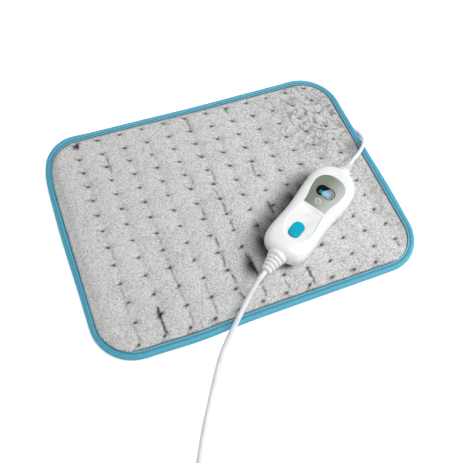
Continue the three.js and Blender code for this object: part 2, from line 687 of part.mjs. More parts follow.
function upperHousing() {
  const low = PARTING + GAP / 2;
  const outer = handsetDome(UPPER_ROUNDING, HALF_LENGTH, HALF_WIDTH, low, HANDSET_HEIGHT);
  const inner = handsetDome(UPPER_ROUNDING, HALF_LENGTH - END_WALL, HALF_WIDTH - WALL, PARTING - 1, CEILING);
  const bosses = bossPlaces.map(([u, v]) => rod(u, v, low, CEILING, BOSS));
  const bar = block(BAR_U, 0, FIELD_W - 0.5, FIELD_W + BAR_HIGH, BAR_WIDE, BAR_LONG);
  const field = plate(fieldShape(), FIELD_W, HANDSET_HEIGHT + 1);
  const pocket = plate(panelShape(GAP), PANEL_W - GAP, HANDSET_HEIGHT + 1);
  const opening = plate(windowShape(-WINDOW_LEDGE), CEILING - 1, HANDSET_HEIGHT);
  const buttonHole = plate(buttonShape(SLIDE), CEILING - 1, HANDSET_HEIGHT);
  const pilots = bossPlaces.map(([u, v]) => rod(u, v, PARTING - 1, PARTING + SCREW_BITE + 1, SCREW + 2 * GAP));
  const shell = cut(outer, inner, field, pocket, opening, buttonHole);
  return cut(join(shell, bar, ...bosses), ...pilots, ...bootRooms());
}

function lowerHousing() {
  const high = PARTING - GAP / 2;
  const outer = handsetDome(LOWER_ROUNDING, HALF_LENGTH, HALF_WIDTH, high, 0);
  const inner = handsetDome(LOWER_ROUNDING, HALF_LENGTH - END_WALL, HALF_WIDTH - WALL, PARTING + 1, FLOOR_WALL);
  const bosses = bossPlaces.map(([u, v]) => rod(u, v, FLOOR_WALL / 2, high, BOSS));
  const posts = postPlaces.map(([u, v]) => rod(u, v, FLOOR_WALL / 2, BOARD_W - GAP, POST, 16));
  const wells = bossPlaces.map(([u, v]) => rod(u, v, -1, SCREW_SINK, SCREW_HEAD + 2 * GAP));
  const bores = bossPlaces.map(([u, v]) => rod(u, v, 0, PARTING + 1, SCREW + 2 * GAP));
  const pilots = boardScrews.map(([u, v]) => rod(u, v, FLOOR_WALL, BOARD_W, SCREW + 2 * GAP, 12));
  return cut(join(cut(outer, inner), ...bosses, ...posts), ...wells, ...bores, ...pilots, ...bootRooms());
}

// Screw with its head downwards, from the head's underside to its tip
function screw(headUnderside, tip, headSide) {
  const head = headUnderside + headSide * SCREW_HEAD_HIGH;
  const r = SCREW / 2;
  return turned(
    [[0, head], [SCREW_HEAD / 2, head], [SCREW_HEAD / 2, headUnderside], [r, headUnderside], [r, tip], [0, tip]],
    12,
  );
}

// Ribbed boot along +Z from inside the housing to its tip, whose origin is the end of the housing
function boot({ base, tip, neck, flange, reach }) {
  const inside = -FLANGE_FROM_END - FLANGE_THICK;
  const seat = -SEAT + GAP;
  const profile = [[0, inside], [flange / 2, inside], [flange / 2, -FLANGE_FROM_END], [neck / 2, -FLANGE_FROM_END]];
  profile.push([neck / 2, seat], [base / 2, seat]);
  const radiusAt = (share) => (base + (tip - base) * share) / 2;
  const span = reach - seat;
  for (let rib = 0; rib < RIBS; rib += 1) {
    const from = (rib + 0.5) / (RIBS + 0.3);
    const to = (rib + 0.9) / (RIBS + 0.3);
    profile.push([radiusAt(from), seat + span * from], [radiusAt(from) - RIB_GROOVE, seat + span * from]);
    profile.push([radiusAt(to) - RIB_GROOVE, seat + span * to], [radiusAt(to), seat + span * to]);
  }
  profile.push([tip / 2, reach], [0, reach]);
  return turned(profile, 16);
}

// Push button: cap, flange that keeps it in, and stem down to the switch
function button() {
  const bevel = 0.8;
  const capLow = CEILING - SLIDE - BUTTON_RIM_THICK;
  const capHigh = FIELD_W + BUTTON_PROUD;
  const options = { depth: capHigh - capLow - bevel, curveSegments: 5, bevelSegments: 2 };
  const rounding = { bevelThickness: bevel, bevelSize: bevel, bevelOffset: -bevel };
  const cap = new THREE.ExtrudeGeometry(buttonShape(0), { ...options, ...rounding }).translate(0, 0, capLow);
  const rim = plate(buttonShape(BUTTON_RIM), capLow, capLow + BUTTON_RIM_THICK);
  const stemLow = PART_W + SWITCH_HIGH - PLUNGER_SUNK + PLUNGER_HIGH + GAP;
  return join(cap, rim, rod(BUTTON_U, 0, stemLow, capLow + 1, STEM, 16));
}

// Wire from a boot's flange to the board: end is -1 at the tail and 1 at the head
function coreWire(end, v) {
  const start = HALF_LENGTH - FLANGE_FROM_END - FLANGE_THICK - GAP;
  const landing = end < 0 ? -BOARD_LOW : BOARD_HIGH;
  const foot = landing - 2.2;
  const low = PART_W;
  const points = [
    [end * start, v, PARTING],
    [end * (start - 1.6), v, PARTING],
    [end * (foot + 0.5), v * 1.25, PARTING - 0.5],
    [end * foot, v * 1.3, low + 1.4],
    [end * foot, v * 1.3, low],
  ];
  return cordThrough(points.map(vector), CORE, 6, 10);
}

function addController(parent) {
  add(parent, "lower_housing", lowerHousing(), FINISH.housing);
  add(parent, "upper_housing", upperHousing(), FINISH.housing);
  const panel = plate(panelShape(0), PANEL_W, PANEL_W + PANEL_THICK);
  const hole = plate(windowShape(GAP), PANEL_W - 1, HANDSET_HEIGHT + 1);
  add(parent, "display_panel", cut(panel, hole), FINISH.panel);
  const windowTop = PANEL_W + PANEL_THICK - WINDOW_DROP;
  add(parent, "display_window", plate(windowShape(0), PANEL_W, windowTop), FINISH.window);
  const display = plate(windowShape(-WINDOW_LEDGE - GAP), PART_W, PANEL_W - DISPLAY_SHY);
  add(parent, "display_module", display, FINISH.display);
  add(parent, "push_button", button(), FINISH.button);

  const board = plate(
    roundedRectangle((BOARD_LOW + BOARD_HIGH) / 2, 0, (BOARD_HIGH - BOARD_LOW) / 2, BOARD_HALF, 2),
    BOARD_W,
    BOARD_TOP,
    3,
  );
  const boardHoles = boardScrews.map(([u, v]) => rod(u, v, BOARD_W - 1, BOARD_TOP + 1, SCREW + 2 * GAP, 12));
  add(parent, "circuit_board", cut(board, ...boardHoles), FINISH.board);
  const switchTop = PART_W + SWITCH_HIGH;
  const switchBody = block(BUTTON_U, 0, PART_W, switchTop, SWITCH, SWITCH);
  const well = rod(BUTTON_U, 0, switchTop - PLUNGER_WELL, switchTop + 1, PLUNGER + 2 * GAP, 16);
  add(parent, "switch_body", cut(switchBody, well), FINISH.darkMoulding);
  const plungerLow = switchTop - PLUNGER_SUNK;
  const plunger = rod(BUTTON_U, 0, plungerLow, plungerLow + PLUNGER_HIGH, PLUNGER, 16);
  add(parent, "switch_plunger", plunger, FINISH.housing);
  add(parent, "film_capacitor", block(-12, 6.6, PART_W, PART_W + FILM_BOX_HIGH, 18, 7), FINISH.filmBox);
  add(parent, "triac", block(-12, -6.4, PART_W, PART_W + 4.4, 15, 10), FINISH.darkMoulding);
  add(parent, "smoothing_capacitor", rod(7, -6.6, PART_W, PART_W + 10, 8), FINISH.aluminium);
  add(parent, "control_chip", block(8, 5.6, PART_W, PART_W + 1.7, 10, 8), FINISH.darkMoulding);
  const fuse = rod(BOARD_LOW + FUSE_FROM_BOARD_END, 0, PART_W, PART_W + FUSE, FUSE);
  add(parent, "fuse", fuse, FINISH.darkMoulding);

  bossPlaces.forEach(([u, v], i) => {
    const geometry = screw(SCREW_SINK - GAP, PARTING + SCREW_BITE, -1).translate(u, v, 0);
    add(parent, `housing_screw_${i + 1}`, geometry, FINISH.zinc);
  });
  boardScrews.forEach(([u, v], i) => {
    const geometry = screw(PART_W, FLOOR_WALL + 1, 1).translate(u, v, 0);
    add(parent, `board_screw_${i + 1}`, geometry, FINISH.zinc);
  });

  const mainsBoot = boot(MAINS_BOOT).rotateY(-Math.PI / 2).translate(-HALF_LENGTH, 0, PARTING);
  add(parent, "mains_boot", mainsBoot, FINISH.housing);
  const leadBoot = boot(LEAD_BOOT).rotateY(Math.PI / 2).translate(HALF_LENGTH, 0, PARTING);
  add(parent, "lead_boot", leadBoot, FINISH.housing);
  add(parent, "mains_wire_live", coreWire(-1, CORE_APART / 2), FINISH.live);
  add(parent, "mains_wire_neutral", coreWire(-1, -CORE_APART / 2), FINISH.neutral);
  add(parent, "heater_wire_live", coreWire(1, CORE_APART / 2), FINISH.live);
  add(parent, "heater_wire_neutral", coreWire(1, -CORE_APART / 2), FINISH.neutral);
}

// A point on the controller's axis as it lies on the pad
function onAxis(u) {
  const x = HANDSET_X + u * Math.cos(HANDSET_TURN);
  const y = HANDSET_Y + u * Math.sin(HANDSET_TURN);
  return new THREE.Vector3(x, y, AXIS_Z);
}

// Lead and mains cord

// Lead: out of the controller, down over the piping, round and back through the piping
function leadPoints() {
  const start = HALF_LENGTH + LEAD_BOOT.reach + GAP;
  const between = [
    [173.5, 1.4, 20.2], [182.5, 8, 15.6], [190, 14, 12.2], [196.6, 20.6, 10.3], [201.2, 28.2, 8.4],
    [203.2, 36, 5.8], [203.7, 42.4, 4.3],
  ];
  const last = [-8, 0, JOINT_INSIDE - GAP].map(alongLead);
  return [onAxis(start), onAxis(start + 6), ...between.map(vector), ...last];
}

const coilPitch = CORD + COIL_GAP;
const coilZ = TIE_THICK + 2 * GAP + CORD / 2;
const coilSweep = 2 * Math.PI * COIL_TURNS;

// Point of the coil after a turn from its start: in on the lower layer, up, and out on the upper one
function coilPoint(run) {
  const radius = COIL_INNER + (coilPitch * Math.abs(coilSweep / 2 - run)) / (2 * Math.PI);
  const climb = THREE.MathUtils.clamp((run - coilSweep / 2) / Math.PI + 0.5, 0, 1);
  const turn = COIL_START + run;
  const x = COIL_X + radius * Math.cos(turn);
  const y = COIL_Y + radius * Math.sin(turn);
  return new THREE.Vector3(x, y, coilZ + climb * coilPitch);
}

const coilIn = coilPoint(0);
const coilInAhead = coilPoint(0.02).sub(coilIn).normalize();
const coilStart = coilIn.clone().addScaledVector(coilInAhead, -COIL_LEAD);
const coilOut = coilPoint(coilSweep);
const coilOutAhead = coilOut.clone().sub(coilPoint(coilSweep - 0.02)).normalize();
const plugZ = PLUG_THICK / 2;
const coilFallen = coilOut.clone().addScaledVector(coilOutAhead, COIL_FALL).setZ(plugZ);
const coilEnd = coilFallen.clone().addScaledVector(coilOutAhead, COIL_LEAD);

function coilPath() {
  const steps = Math.round(24 * COIL_TURNS);
  const path = [coilStart];
  for (let k = 0; k <= steps; k += 1) path.push(coilPoint((coilSweep * k) / steps));
  for (let k = 1; k <= 4; k += 1) {
    const share = k / 4;
    const point = coilOut.clone().addScaledVector(coilOutAhead, COIL_FALL * share);
    path.push(point.setZ(THREE.MathUtils.lerp(coilOut.z, plugZ, THREE.MathUtils.smoothstep(share, 0.35, 1))));
  }
  path.push(coilEnd);
  return path;
}

// Least gap of the coil to itself, between points at least half a turn apart
function leastGap(path) {
  const turns = path.length / COIL_TURNS;
  let least = Infinity;
  path.forEach((point, i) => {
    for (let j = i + Math.round(turns / 2); j < path.length; j += 1) {
      least = Math.min(least, point.distanceTo(path[j]));
    }
  });
  return least - CORD;
}

// Mains cord: out of the controller, down over the front of the pad, along the floor to the coil
function cordPoints() {
  const start = -HALF_LENGTH - MAINS_BOOT.reach - GAP;
  const floor = CORD / 2 + 0.1;
  const between = [
    [-17.6, -119.4, 21.4], [-30.5, -130.2, 17.2], [-43.7, -142.3, 14.6], [-54.5, -152.3, 11.8], [-65, -161.8, 8.2],
    [-76.6, -174.2, 4.9], [-86.4, -187.6, floor], [-95.5, -201, floor], [-104.8, -215.1, floor],
    [-115, -230.6, floor], [-124.3, -245.7, floor], [-136, -266, floor],
  ];
  const last = [18, GAP].map((back) => coilStart.clone().addScaledVector(coilInAhead, -back));
  return [onAxis(start), onAxis(start - 7), ...between.map(vector), ...last];
}

// Strap round the turns of the coil
function coilTie() {
  const turnOf = coilPitch / 2;
  const inner = COIL_INNER - CORD / 2 - TIE_SLACK;
  const outer = COIL_INNER + (coilPitch * COIL_TURNS) / 2 + CORD / 2 - turnOf + TIE_SLACK;
  const low = coilZ - CORD / 2 - GAP;
  const high = coilZ + coilPitch + CORD / 2 + GAP;
  const half = (outer - inner) / 2;
  const rise = (high - low) / 2;
  const strap = roundedRectangle(0, 0, half + TIE_THICK, rise + TIE_THICK, 3 + TIE_THICK);
  strap.holes.push(roundedRectangle(0, 0, half, rise, 3));
  const geometry = plate(strap, -TIE_WIDE / 2, TIE_WIDE / 2, 4).rotateX(Math.PI / 2);
  geometry.translate((inner + outer) / 2, 0, (low + high) / 2).rotateZ(TIE_TURN);
  return geometry.translate(COIL_X, COIL_Y, 0);
}

// Plug along +X from the cord's end, its axis at height 0
function plugBody() {
  const half = PLUG_WIDE / 2 - PLUG_ROUND;
  const neck = PLUG_NECK / 2 - PLUG_ROUND;
  const from = PLUG_ROUND;
  const to = PLUG_LENGTH - PLUG_ROUND;
  const shape = new THREE.Shape();
  shape.moveTo(from, -neck);
  shape.bezierCurveTo(0.3 * to, -neck, 0.4 * to, -half, 0.68 * to, -half);
  shape.lineTo(to, -half);
  shape.lineTo(to, half);
  shape.lineTo(0.68 * to, half);
  shape.bezierCurveTo(0.4 * to, half, 0.3 * to, neck, from, neck);
  shape.closePath();
  const depth = PLUG_THICK - 2 * PLUG_ROUND;
  const bevel = { bevelThickness: PLUG_ROUND, bevelSize: PLUG_ROUND, bevelSegments: 2 };
  const body = new THREE.ExtrudeGeometry(shape, { depth, curveSegments: 6, ...bevel }).translate(0, 0, -depth / 2);
  const bore = PIN + 2 * GAP;
  const holes = [1, -1].map((side) => {
    const hole = lyingRod(PLUG_LENGTH - PIN_BURIED - GAP, PLUG_LENGTH + 1, 0, bore, 16);
    return hole.translate(0, (side * PIN_APART) / 2, 0);
  });
  return cut(body, ...holes);
}

// Pin along +Z from its buried end, thinner where its sleeve is
function pin() {
  const sleeveEnd = PIN_BURIED + SLEEVE_REACH + GAP;
  const end = PIN_BURIED + PIN_REACH;
  const r = PIN / 2;
  const profile = [[0, 0], [PIN_SHANK / 2, 0], [PIN_SHANK / 2, sleeveEnd], [r, sleeveEnd], [r, end - 1.4]];
  profile.push([r - 0.7, end - 0.3], [r - 1.4, end], [0, end]);
  return turned(profile, 12);
}

function sleeve() {
  const end = PIN_BURIED + SLEEVE_REACH;
  const r = PIN / 2;
  const bore = SLEEVE_BORE / 2;
  return turned([[bore, 0], [r, 0], [r, end], [bore, end], [bore, 0]], 12);
}

function addPlug(parent) {
  const ribs = [[0, 0], [PLUG_BOOT_TIP / 2, 0]];
  const count = 4;
  for (let k = 1; k <= count; k += 1) {
    const at = (k * PLUG_BOOT_REACH) / (count + 1);
    const radius = (PLUG_BOOT_TIP + ((PLUG_BOOT_BASE - PLUG_BOOT_TIP) * k) / count) / 2;
    ribs.push([radius, at - 0.8], [radius - 0.7, at - 0.8], [radius - 0.7, at + 0.8], [radius, at + 0.8]);
  }
  ribs.push([PLUG_BOOT_BASE / 2, PLUG_BOOT_REACH], [0, PLUG_BOOT_REACH]);
  const bodyAt = PLUG_BOOT_REACH + GAP;
  add(parent, "plug_boot", turned(ribs, 14).rotateY(Math.PI / 2), FINISH.cordJacket);
  add(parent, "plug_body", plugBody().translate(bodyAt, 0, 0), FINISH.cordJacket);
  [1, -1].forEach((side, i) => {
    const place = (geometry) =>
      geometry.rotateY(Math.PI / 2).translate(bodyAt + PLUG_LENGTH - PIN_BURIED, (side * PIN_APART) / 2, 0);
    add(parent, `plug_pin_${i + 1}`, place(pin()), FINISH.brass);
    add(parent, `plug_sleeve_${i + 1}`, place(sleeve()), FINISH.darkMoulding);
  });
}

function addCords(parent) {
  add(parent, "pad_lead", cordThrough(leadPoints(), LEAD, 10, 22), FINISH.cordJacket);
  add(parent, "mains_cord", cordThrough(cordPoints(), CORD, 10, 30), FINISH.cordJacket);
  const path = coilPath();
  console.log(`least gap of the coil to itself: ${leastGap(path).toFixed(2)} mm`);
  add(parent, "mains_cord_coil", tubeThrough(path, CORD, 6), FINISH.cordJacket);
  add(parent, "coil_tie", coilTie(), FINISH.strap);
}

const heatingPad = new THREE.Group();
heatingPad.name = "heating_pad";
addPad(heatingPad);

const controller = new THREE.Group();
controller.name = "controller";
controller.position.set(HANDSET_X, HANDSET_Y, CROWN_Z + GAP);
controller.rotation.z = HANDSET_TURN;
addController(controller);

const plug = new THREE.Group();
plug.name = "plug";
plug.position.copy(coilEnd).addScaledVector(coilOutAhead, GAP);
plug.rotation.z = Math.atan2(coilOutAhead.y, coilOutAhead.x);
addPlug(plug);

const group = new THREE.Group();
group.name = "heating_pad_with_controller";
group.add(heatingPad, controller, plug);
addCords(group);

export default group;
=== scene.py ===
"""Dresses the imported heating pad: studio, cords, quilted pad and controller.

Metres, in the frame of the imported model: +Z is up, the pad lies on z = 0 with its long side along X, and the
controller lies on it, turned about Z.
"""

from __future__ import annotations

import logging
import math
import random
from dataclasses import dataclass
from enum import Enum
from typing import Any, Sequence

import bmesh
import bpy
from mathutils import Matrix, Vector, noise
from mathutils.bvhtree import BVHTree
from mathutils.kdtree import KDTree


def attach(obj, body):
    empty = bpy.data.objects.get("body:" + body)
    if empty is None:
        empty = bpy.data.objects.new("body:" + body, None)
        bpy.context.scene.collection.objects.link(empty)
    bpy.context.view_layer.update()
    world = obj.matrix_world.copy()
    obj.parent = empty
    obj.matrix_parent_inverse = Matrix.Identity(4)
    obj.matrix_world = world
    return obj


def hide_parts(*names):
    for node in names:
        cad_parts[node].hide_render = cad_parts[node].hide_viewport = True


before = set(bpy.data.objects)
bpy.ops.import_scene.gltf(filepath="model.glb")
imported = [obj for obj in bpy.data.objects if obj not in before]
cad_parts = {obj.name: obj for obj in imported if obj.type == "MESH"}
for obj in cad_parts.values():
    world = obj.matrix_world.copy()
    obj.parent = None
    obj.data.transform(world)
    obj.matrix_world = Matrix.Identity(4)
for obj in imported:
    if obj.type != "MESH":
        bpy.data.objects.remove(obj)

LOG = logging.getLogger("heating_pad")
DOWN = Vector((0.0, 0.0, -1.0))
WAVE_PERIOD = 0.314  # from band to band of the wave pattern at a scale of 1

Pair = tuple[float, float]
Triple = tuple[float, float, float]
Colour = tuple[float, float, float, float]
Piece = bpy.types.Object
Tree = bpy.types.NodeTree
Inputs = dict[int | str, Any]


class Body(Enum):
    """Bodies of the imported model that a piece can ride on."""

    PAD = "pad_and_controller"
    BUTTON = "button"


@dataclass(frozen=True)
class Handset:
    """Where the controller lies: the middle of its underside, its turn, and the height of its axis."""

    middle: Triple = (0.081, -0.057, 0.0127)
    turn: float = math.radians(32)
    axis_height: float = 0.0257

    def frame(self) -> Matrix:
        """The controller's own axes: along it, across it and up."""
        return Matrix.Translation(self.middle) @ Matrix.Rotation(self.turn, 4, "Z")

    def on_axis(self, along: float) -> Triple:
        """A point on the controller's long axis, as it lies on the pad."""
        return tuple(self.frame() @ Vector((along, 0.0, self.axis_height - self.middle[2])))


HANDSET = Handset()


# Colours and nodes


def srgb(code: str) -> Colour:
    """Turn an sRGB hex code into linear colour.

    Args:
        code: six hex digits.

    Returns:
        Linear red, green, blue, and an alpha of 1.
    """
    parts = [int(code[k : k + 2], 16) / 255 for k in (0, 2, 4)]
    red, green, blue = (p / 12.92 if p <= 0.04045 else ((p + 0.055) / 1.055) ** 2.4 for p in parts)
    return red, green, blue, 1.0


def put(tree: Tree, kind: str, inputs: Inputs | None = None, **settings: Any) -> bpy.types.Node:
    """Add one shader node with its settings and links.

    Args:
        tree: node tree that takes the node.
        kind: Blender's name of the node, without its prefix.
        inputs: what goes into each input that isn't left at its default: a value, another node's output, or another
            node, of which the first output in use is meant.
        settings: the node's own settings.

    Returns:
        The new node.
    """
    made = tree.nodes.new("ShaderNode" + kind)
    for name, value in settings.items():
        setattr(made, name, value)
    for key, value in (inputs or {}).items():
        if isinstance(value, bpy.types.Node):
            value = next(output for output in value.outputs if output.enabled)
        if isinstance(value, bpy.types.NodeSocket):
            tree.links.new(value, made.inputs[key])
        else:
            made.inputs[key].default_value = value
    return made


# Finishes


@dataclass(frozen=True)
class Finish:
    """What a surface is made of, as one material that every piece of it shares."""

    name: str = "finish"

    def shade(self, tree: Tree) -> Inputs:
        """Say what goes into the shader."""
        raise NotImplementedError

    def material(self) -> bpy.types.Material:
        """Make the material the first time it is asked for.

        Returns:
            The material of this finish.
        """
        found = bpy.data.materials.get(self.name)
        if found is None:
            found = bpy.data.materials.new(self.name)
            found.use_nodes = True
            tree = found.node_tree
            tree.nodes.clear()
            put(tree, "OutputMaterial", {"Surface": put(tree, "BsdfPrincipled", self.shade(tree))})
        return found

    def axes_at(self, tree: Tree, centre: Triple) -> bpy.types.Node:
        """Split a place on the controller into its distances from a centre.

        Args:
            tree: the material's nodes.
            centre: where the distances start.

        Returns:
            The node with the distances along, across and up.
        """
        place = put(tree, "TexCoord").outputs["Object"]
        turned = {"Vector": place, "Location": centre, "Rotation": (0.0, 0.0, HANDSET.turn)}
        return put(tree, "SeparateXYZ", {"Vector": put(tree, "Mapping", turned, vector_type="TEXTURE")})

    def dress(self, piece: Piece) -> None:
        """Give a piece this finish all over."""
        piece.data.materials.clear()
        piece.data.materials.append(self.material())


@dataclass(frozen=True)
class PlushPile(Finish):
    """Polyester plush, knitted, brushed and sheared: matt grey pile in fine clumps, brushed lighter and darker in
    patches, lying flatter towards the left, and painted shade at its tufts, folds, hollows, rim and by the controller."""

    name: str = "plush_pile"
    tip: str = "E3E3E2"
    root: str = "8F8F8E"
    # colour of the painted shade in the pile
    shade_colour: str = "1A1A1A"
    clump: float = 0.0009  # clumps of pile are about half a millimetre; drawn coarser, so that they show
    flock: float = 0.004
    brushed: float = 0.03

    def shade(self, tree: Tree) -> Inputs:
        """Build what goes into the shader.

        Args:
            tree: its nodes.

        Returns:
            Its inputs.
        """
        place = put(tree, "TexCoord").outputs["Object"]
        soft = {"Vector": place, "Scale": 1 / self.clump, "Smoothness": 0.5}
        cells = put(tree, "TexVoronoi", soft, feature="SMOOTH_F1").outputs
        shades = put(tree, "SeparateColor", {"Color": cells["Color"]})
        gaps = put(tree, "MapRange", {"Value": cells["Distance"], "From Min": 0.75, "From Max": 0.1})
        flock = put(tree, "TexNoise", {"Vector": place, "Scale": 1 / self.flock, "Detail": 3.0, "Roughness": 0.65})
        brushed = put(tree, "TexNoise", {"Vector": place, "Scale": 1 / self.brushed, "Detail": 2.0, "Roughness": 0.5})
        pile = put(tree, "Mix", {0: 0.3, 2: shades, 3: gaps})
        patch = put(tree, "Mix", {0: 0.75, 2: flock, 3: brushed})
        tone = put(tree, "Mix", {0: 0.25, 2: pile, 3: patch})
        share = put(tree, "MapRange", {"Value": tone, "From Min": 0.15, "From Max": 0.58})
        along = put(tree, "SeparateXYZ", {"Vector": place})
        raised = put(tree, "MapRange", {"Value": along, "From Min": -0.15, "From Max": 0.12, "To Min": 0.8})
        share = put(tree, "Mix", {0: raised, 2: 0.62, 3: share})
        colour = put(tree, "Mix", {0: share, 6: srgb(self.root), 7: srgb(self.tip)}, data_type="RGBA")
        # Painted shade: an attribute of the cover darkens the pile towards the shade colour where shade falls.
        painted_shade = put(tree, "Attribute", attribute_name="painted_shade").outputs["Fac"]
        colour = put(tree, "Mix", {0: painted_shade, 6: colour, 7: srgb(self.shade_colour)}, data_type="RGBA")
        height = put(tree, "Mix", {0: 0.12, 2: pile, 3: flock})
        bump = put(tree, "Bump", {"Strength": 0.4, "Distance": 0.0005, "Height": height})
        pile_sheen = {"Sheen Weight": 0.2, "Sheen Roughness": 0.55}
        return {"Base Color": colour, "Roughness": 0.95, "Specular IOR Level": 0.15, "Normal": bump, **pile_sheen}


@dataclass(frozen=True)
class BrushedKnit(Finish):
    """Polyester tricot of the back, warp-knitted and lightly brushed: fine wales along the pad under a thin nap."""

    name: str = "brushed_knit"
    face: str = "CBCDCD"
    furrow: str = "A3A6A7"
    # colour of the painted shade in the dimple at each tuft
    shade_colour: str = "6C6E6F"
    wale: float = 0.0017  # wales are about 0.8 mm apart; drawn coarser, so that they show
    nap: float = 0.006

    def shade(self, tree: Tree) -> Inputs:
        """Build what goes into the shader.

        Args:
            tree: its nodes.

        Returns:
            Its inputs.
        """
        place = put(tree, "TexCoord").outputs["Object"]
        nap = put(tree, "TexNoise", {"Vector": place, "Scale": 1 / self.nap, "Detail": 4.0, "Roughness": 0.65})
        rows = {"Vector": place, "Scale": WAVE_PERIOD / self.wale, "Distortion": 0.7, "Detail": 1.0}
        wale = put(tree, "TexWave", {**rows, "Detail Scale": 2.0}, bands_direction="X").outputs["Fac"]
        height = put(tree, "Mix", {0: 0.45, 2: wale, 3: nap})
        share = put(tree, "MapRange", {"Value": height, "From Min": 0.2, "From Max": 0.75})
        colour = put(tree, "Mix", {0: share, 6: srgb(self.furrow), 7: srgb(self.face)}, data_type="RGBA")
        # Painted shade: an attribute of the back darkens it in the dimple at each tuft.
        painted_shade = put(tree, "Attribute", attribute_name="painted_shade").outputs["Fac"]
        colour = put(tree, "Mix", {0: painted_shade, 6: colour, 7: srgb(self.shade_colour)}, data_type="RGBA")
        bump = put(tree, "Bump", {"Strength": 0.6, "Distance": 0.0004, "Height": height})
        return {"Base Color": colour, "Roughness": 0.9, "Specular IOR Level": 0.2, "Sheen Weight": 0.15, "Normal": bump}


@dataclass(frozen=True)
class SatinBinding(Finish):
    """Polyester satin binding, woven and cut on the bias: blue with a soft lustre that pales where it is seen along
    its surface, diagonal weave, and painted shade in the groove, at the lip's inner edge and on the left bead's top."""

    name: str = "satin_binding"
    face: str = "57B9D4"
    ground: str = "3A90AB"
    # colour of the painted shade in the groove beside the bead and at the lip's edge
    sewn: str = "23637A"
    lustre: str = "B4F0FA"
    twill: float = 0.0017  # threads are about 0.3 mm apart; drawn coarser, so that they show
    bias: float = math.radians(40)
    slub: float = 0.004

    def shade(self, tree: Tree) -> Inputs:
        """Build what goes into the shader.

        Args:
            tree: its nodes.

        Returns:
            Its inputs.
        """
        run = put(tree, "UVMap", uv_map="run")
        turned = put(tree, "Mapping", {"Vector": run, "Rotation": (0.0, 0.0, self.bias)})
        threads = {"Vector": turned, "Scale": WAVE_PERIOD / self.twill, "Distortion": 1.2}
        weave = put(tree, "TexWave", {**threads, "Detail": 2.0, "Detail Scale": 1.5}).outputs["Fac"]
        slub = put(tree, "TexNoise", {"Vector": run, "Scale": 1 / self.slub, "Detail": 3.0, "Roughness": 0.6})
        height = put(tree, "Mix", {0: 0.5, 2: weave, 3: slub})
        share = put(tree, "MapRange", {"Value": height, "From Min": 0.15, "From Max": 0.8})
        colour = put(tree, "Mix", {0: share, 6: srgb(self.ground), 7: srgb(self.face)}, data_type="RGBA")
        # Painted shade: an attribute of the piping darkens the groove, the lip's inner edge and the left side's bead
        # top.
        seam_shade = put(tree, "Attribute", attribute_name="seam_shade").outputs["Fac"]
        colour = put(tree, "Mix", {0: seam_shade, 6: colour, 7: srgb(self.sewn)}, data_type="RGBA")
        bump = put(tree, "Bump", {"Strength": 0.35, "Distance": 0.0003, "Height": height})
        sheen = {"Sheen Weight": 0.6, "Sheen Roughness": 0.35, "Sheen Tint": srgb(self.lustre)}
        return {"Base Color": colour, "Roughness": 0.42, "Specular IOR Level": 0.5, "Normal": bump, **sheen}


@dataclass(frozen=True)
class SpunThread(Finish):
    """Spun polyester sewing thread: dull, with the light and dark of its twist."""

    name: str = "spun_thread"
    light: str = "C6C6C5"
    dark: str = "7E7E7E"
    twist: float = 0.0009
    lay: float = math.radians(35)

    def shade(self, tree: Tree) -> Inputs:
        """Build what goes into the shader.

        Args:
            tree: its nodes.

        Returns:
            Its inputs.
        """
        place = put(tree, "TexCoord").outputs["Object"]
        turned = put(tree, "Mapping", {"Vector": place, "Rotation": (0.0, 0.0, self.lay)})
        plies = {"Vector": turned, "Scale": WAVE_PERIOD / self.twist, "Distortion": 0.6, "Detail": 1.0}
        twist = put(tree, "TexWave", plies).outputs["Fac"]
        colour = put(tree, "Mix", {0: twist, 6: srgb(self.dark), 7: srgb(self.light)}, data_type="RGBA")
        bump = put(tree, "Bump", {"Strength": 0.5, "Distance": 0.0002, "Height": twist})
        return {"Base Color": colour, "Roughness": 0.8, "Sheen Weight": 0.2, "Normal": bump}


@dataclass(frozen=True)
class MouldedPlastic(Finish):
    """Injection-moulded plastic: one clean colour with slight drifts of tone, and a skin of fine grit from the
    mould that breaks up the gloss."""

    name: str = "moulded_abs"
    light: str = "F6F7F6"
    dark: str = "EDEEEE"
    roughness: float = 0.3
    specular: float = 0.5
    grit: float = 0.0007
    relief: float = 0.00002
    drift: float = 0.025

    def shade(self, tree: Tree) -> Inputs:
        """Build what goes into the shader.

        Args:
            tree: its nodes.

        Returns:
            Its inputs.
        """
        place = put(tree, "TexCoord").outputs["Object"]
        drift = put(tree, "TexNoise", {"Vector": place, "Scale": 1 / self.drift, "Detail": 2.0, "Roughness": 0.5})
        grit = put(tree, "TexNoise", {"Vector": place, "Scale": 1 / self.grit, "Detail": 2.0, "Roughness": 0.6})
        share = put(tree, "MapRange", {"Value": drift, "From Min": 0.35, "From Max": 0.65})
        colour = put(tree, "Mix", {0: share, 6: srgb(self.dark), 7: srgb(self.light)}, data_type="RGBA")
        smoothest, dullest = self.roughness - 0.07, self.roughness + 0.07
        rough = put(tree, "MapRange", {"Value": grit, "To Min": smoothest, "To Max": dullest})
        bump = put(tree, "Bump", {"Strength": 0.4, "Distance": self.relief, "Height": grit})
        return {"Base Color": colour, "Roughness": rough, "Specular IOR Level": self.specular, "Normal": bump}


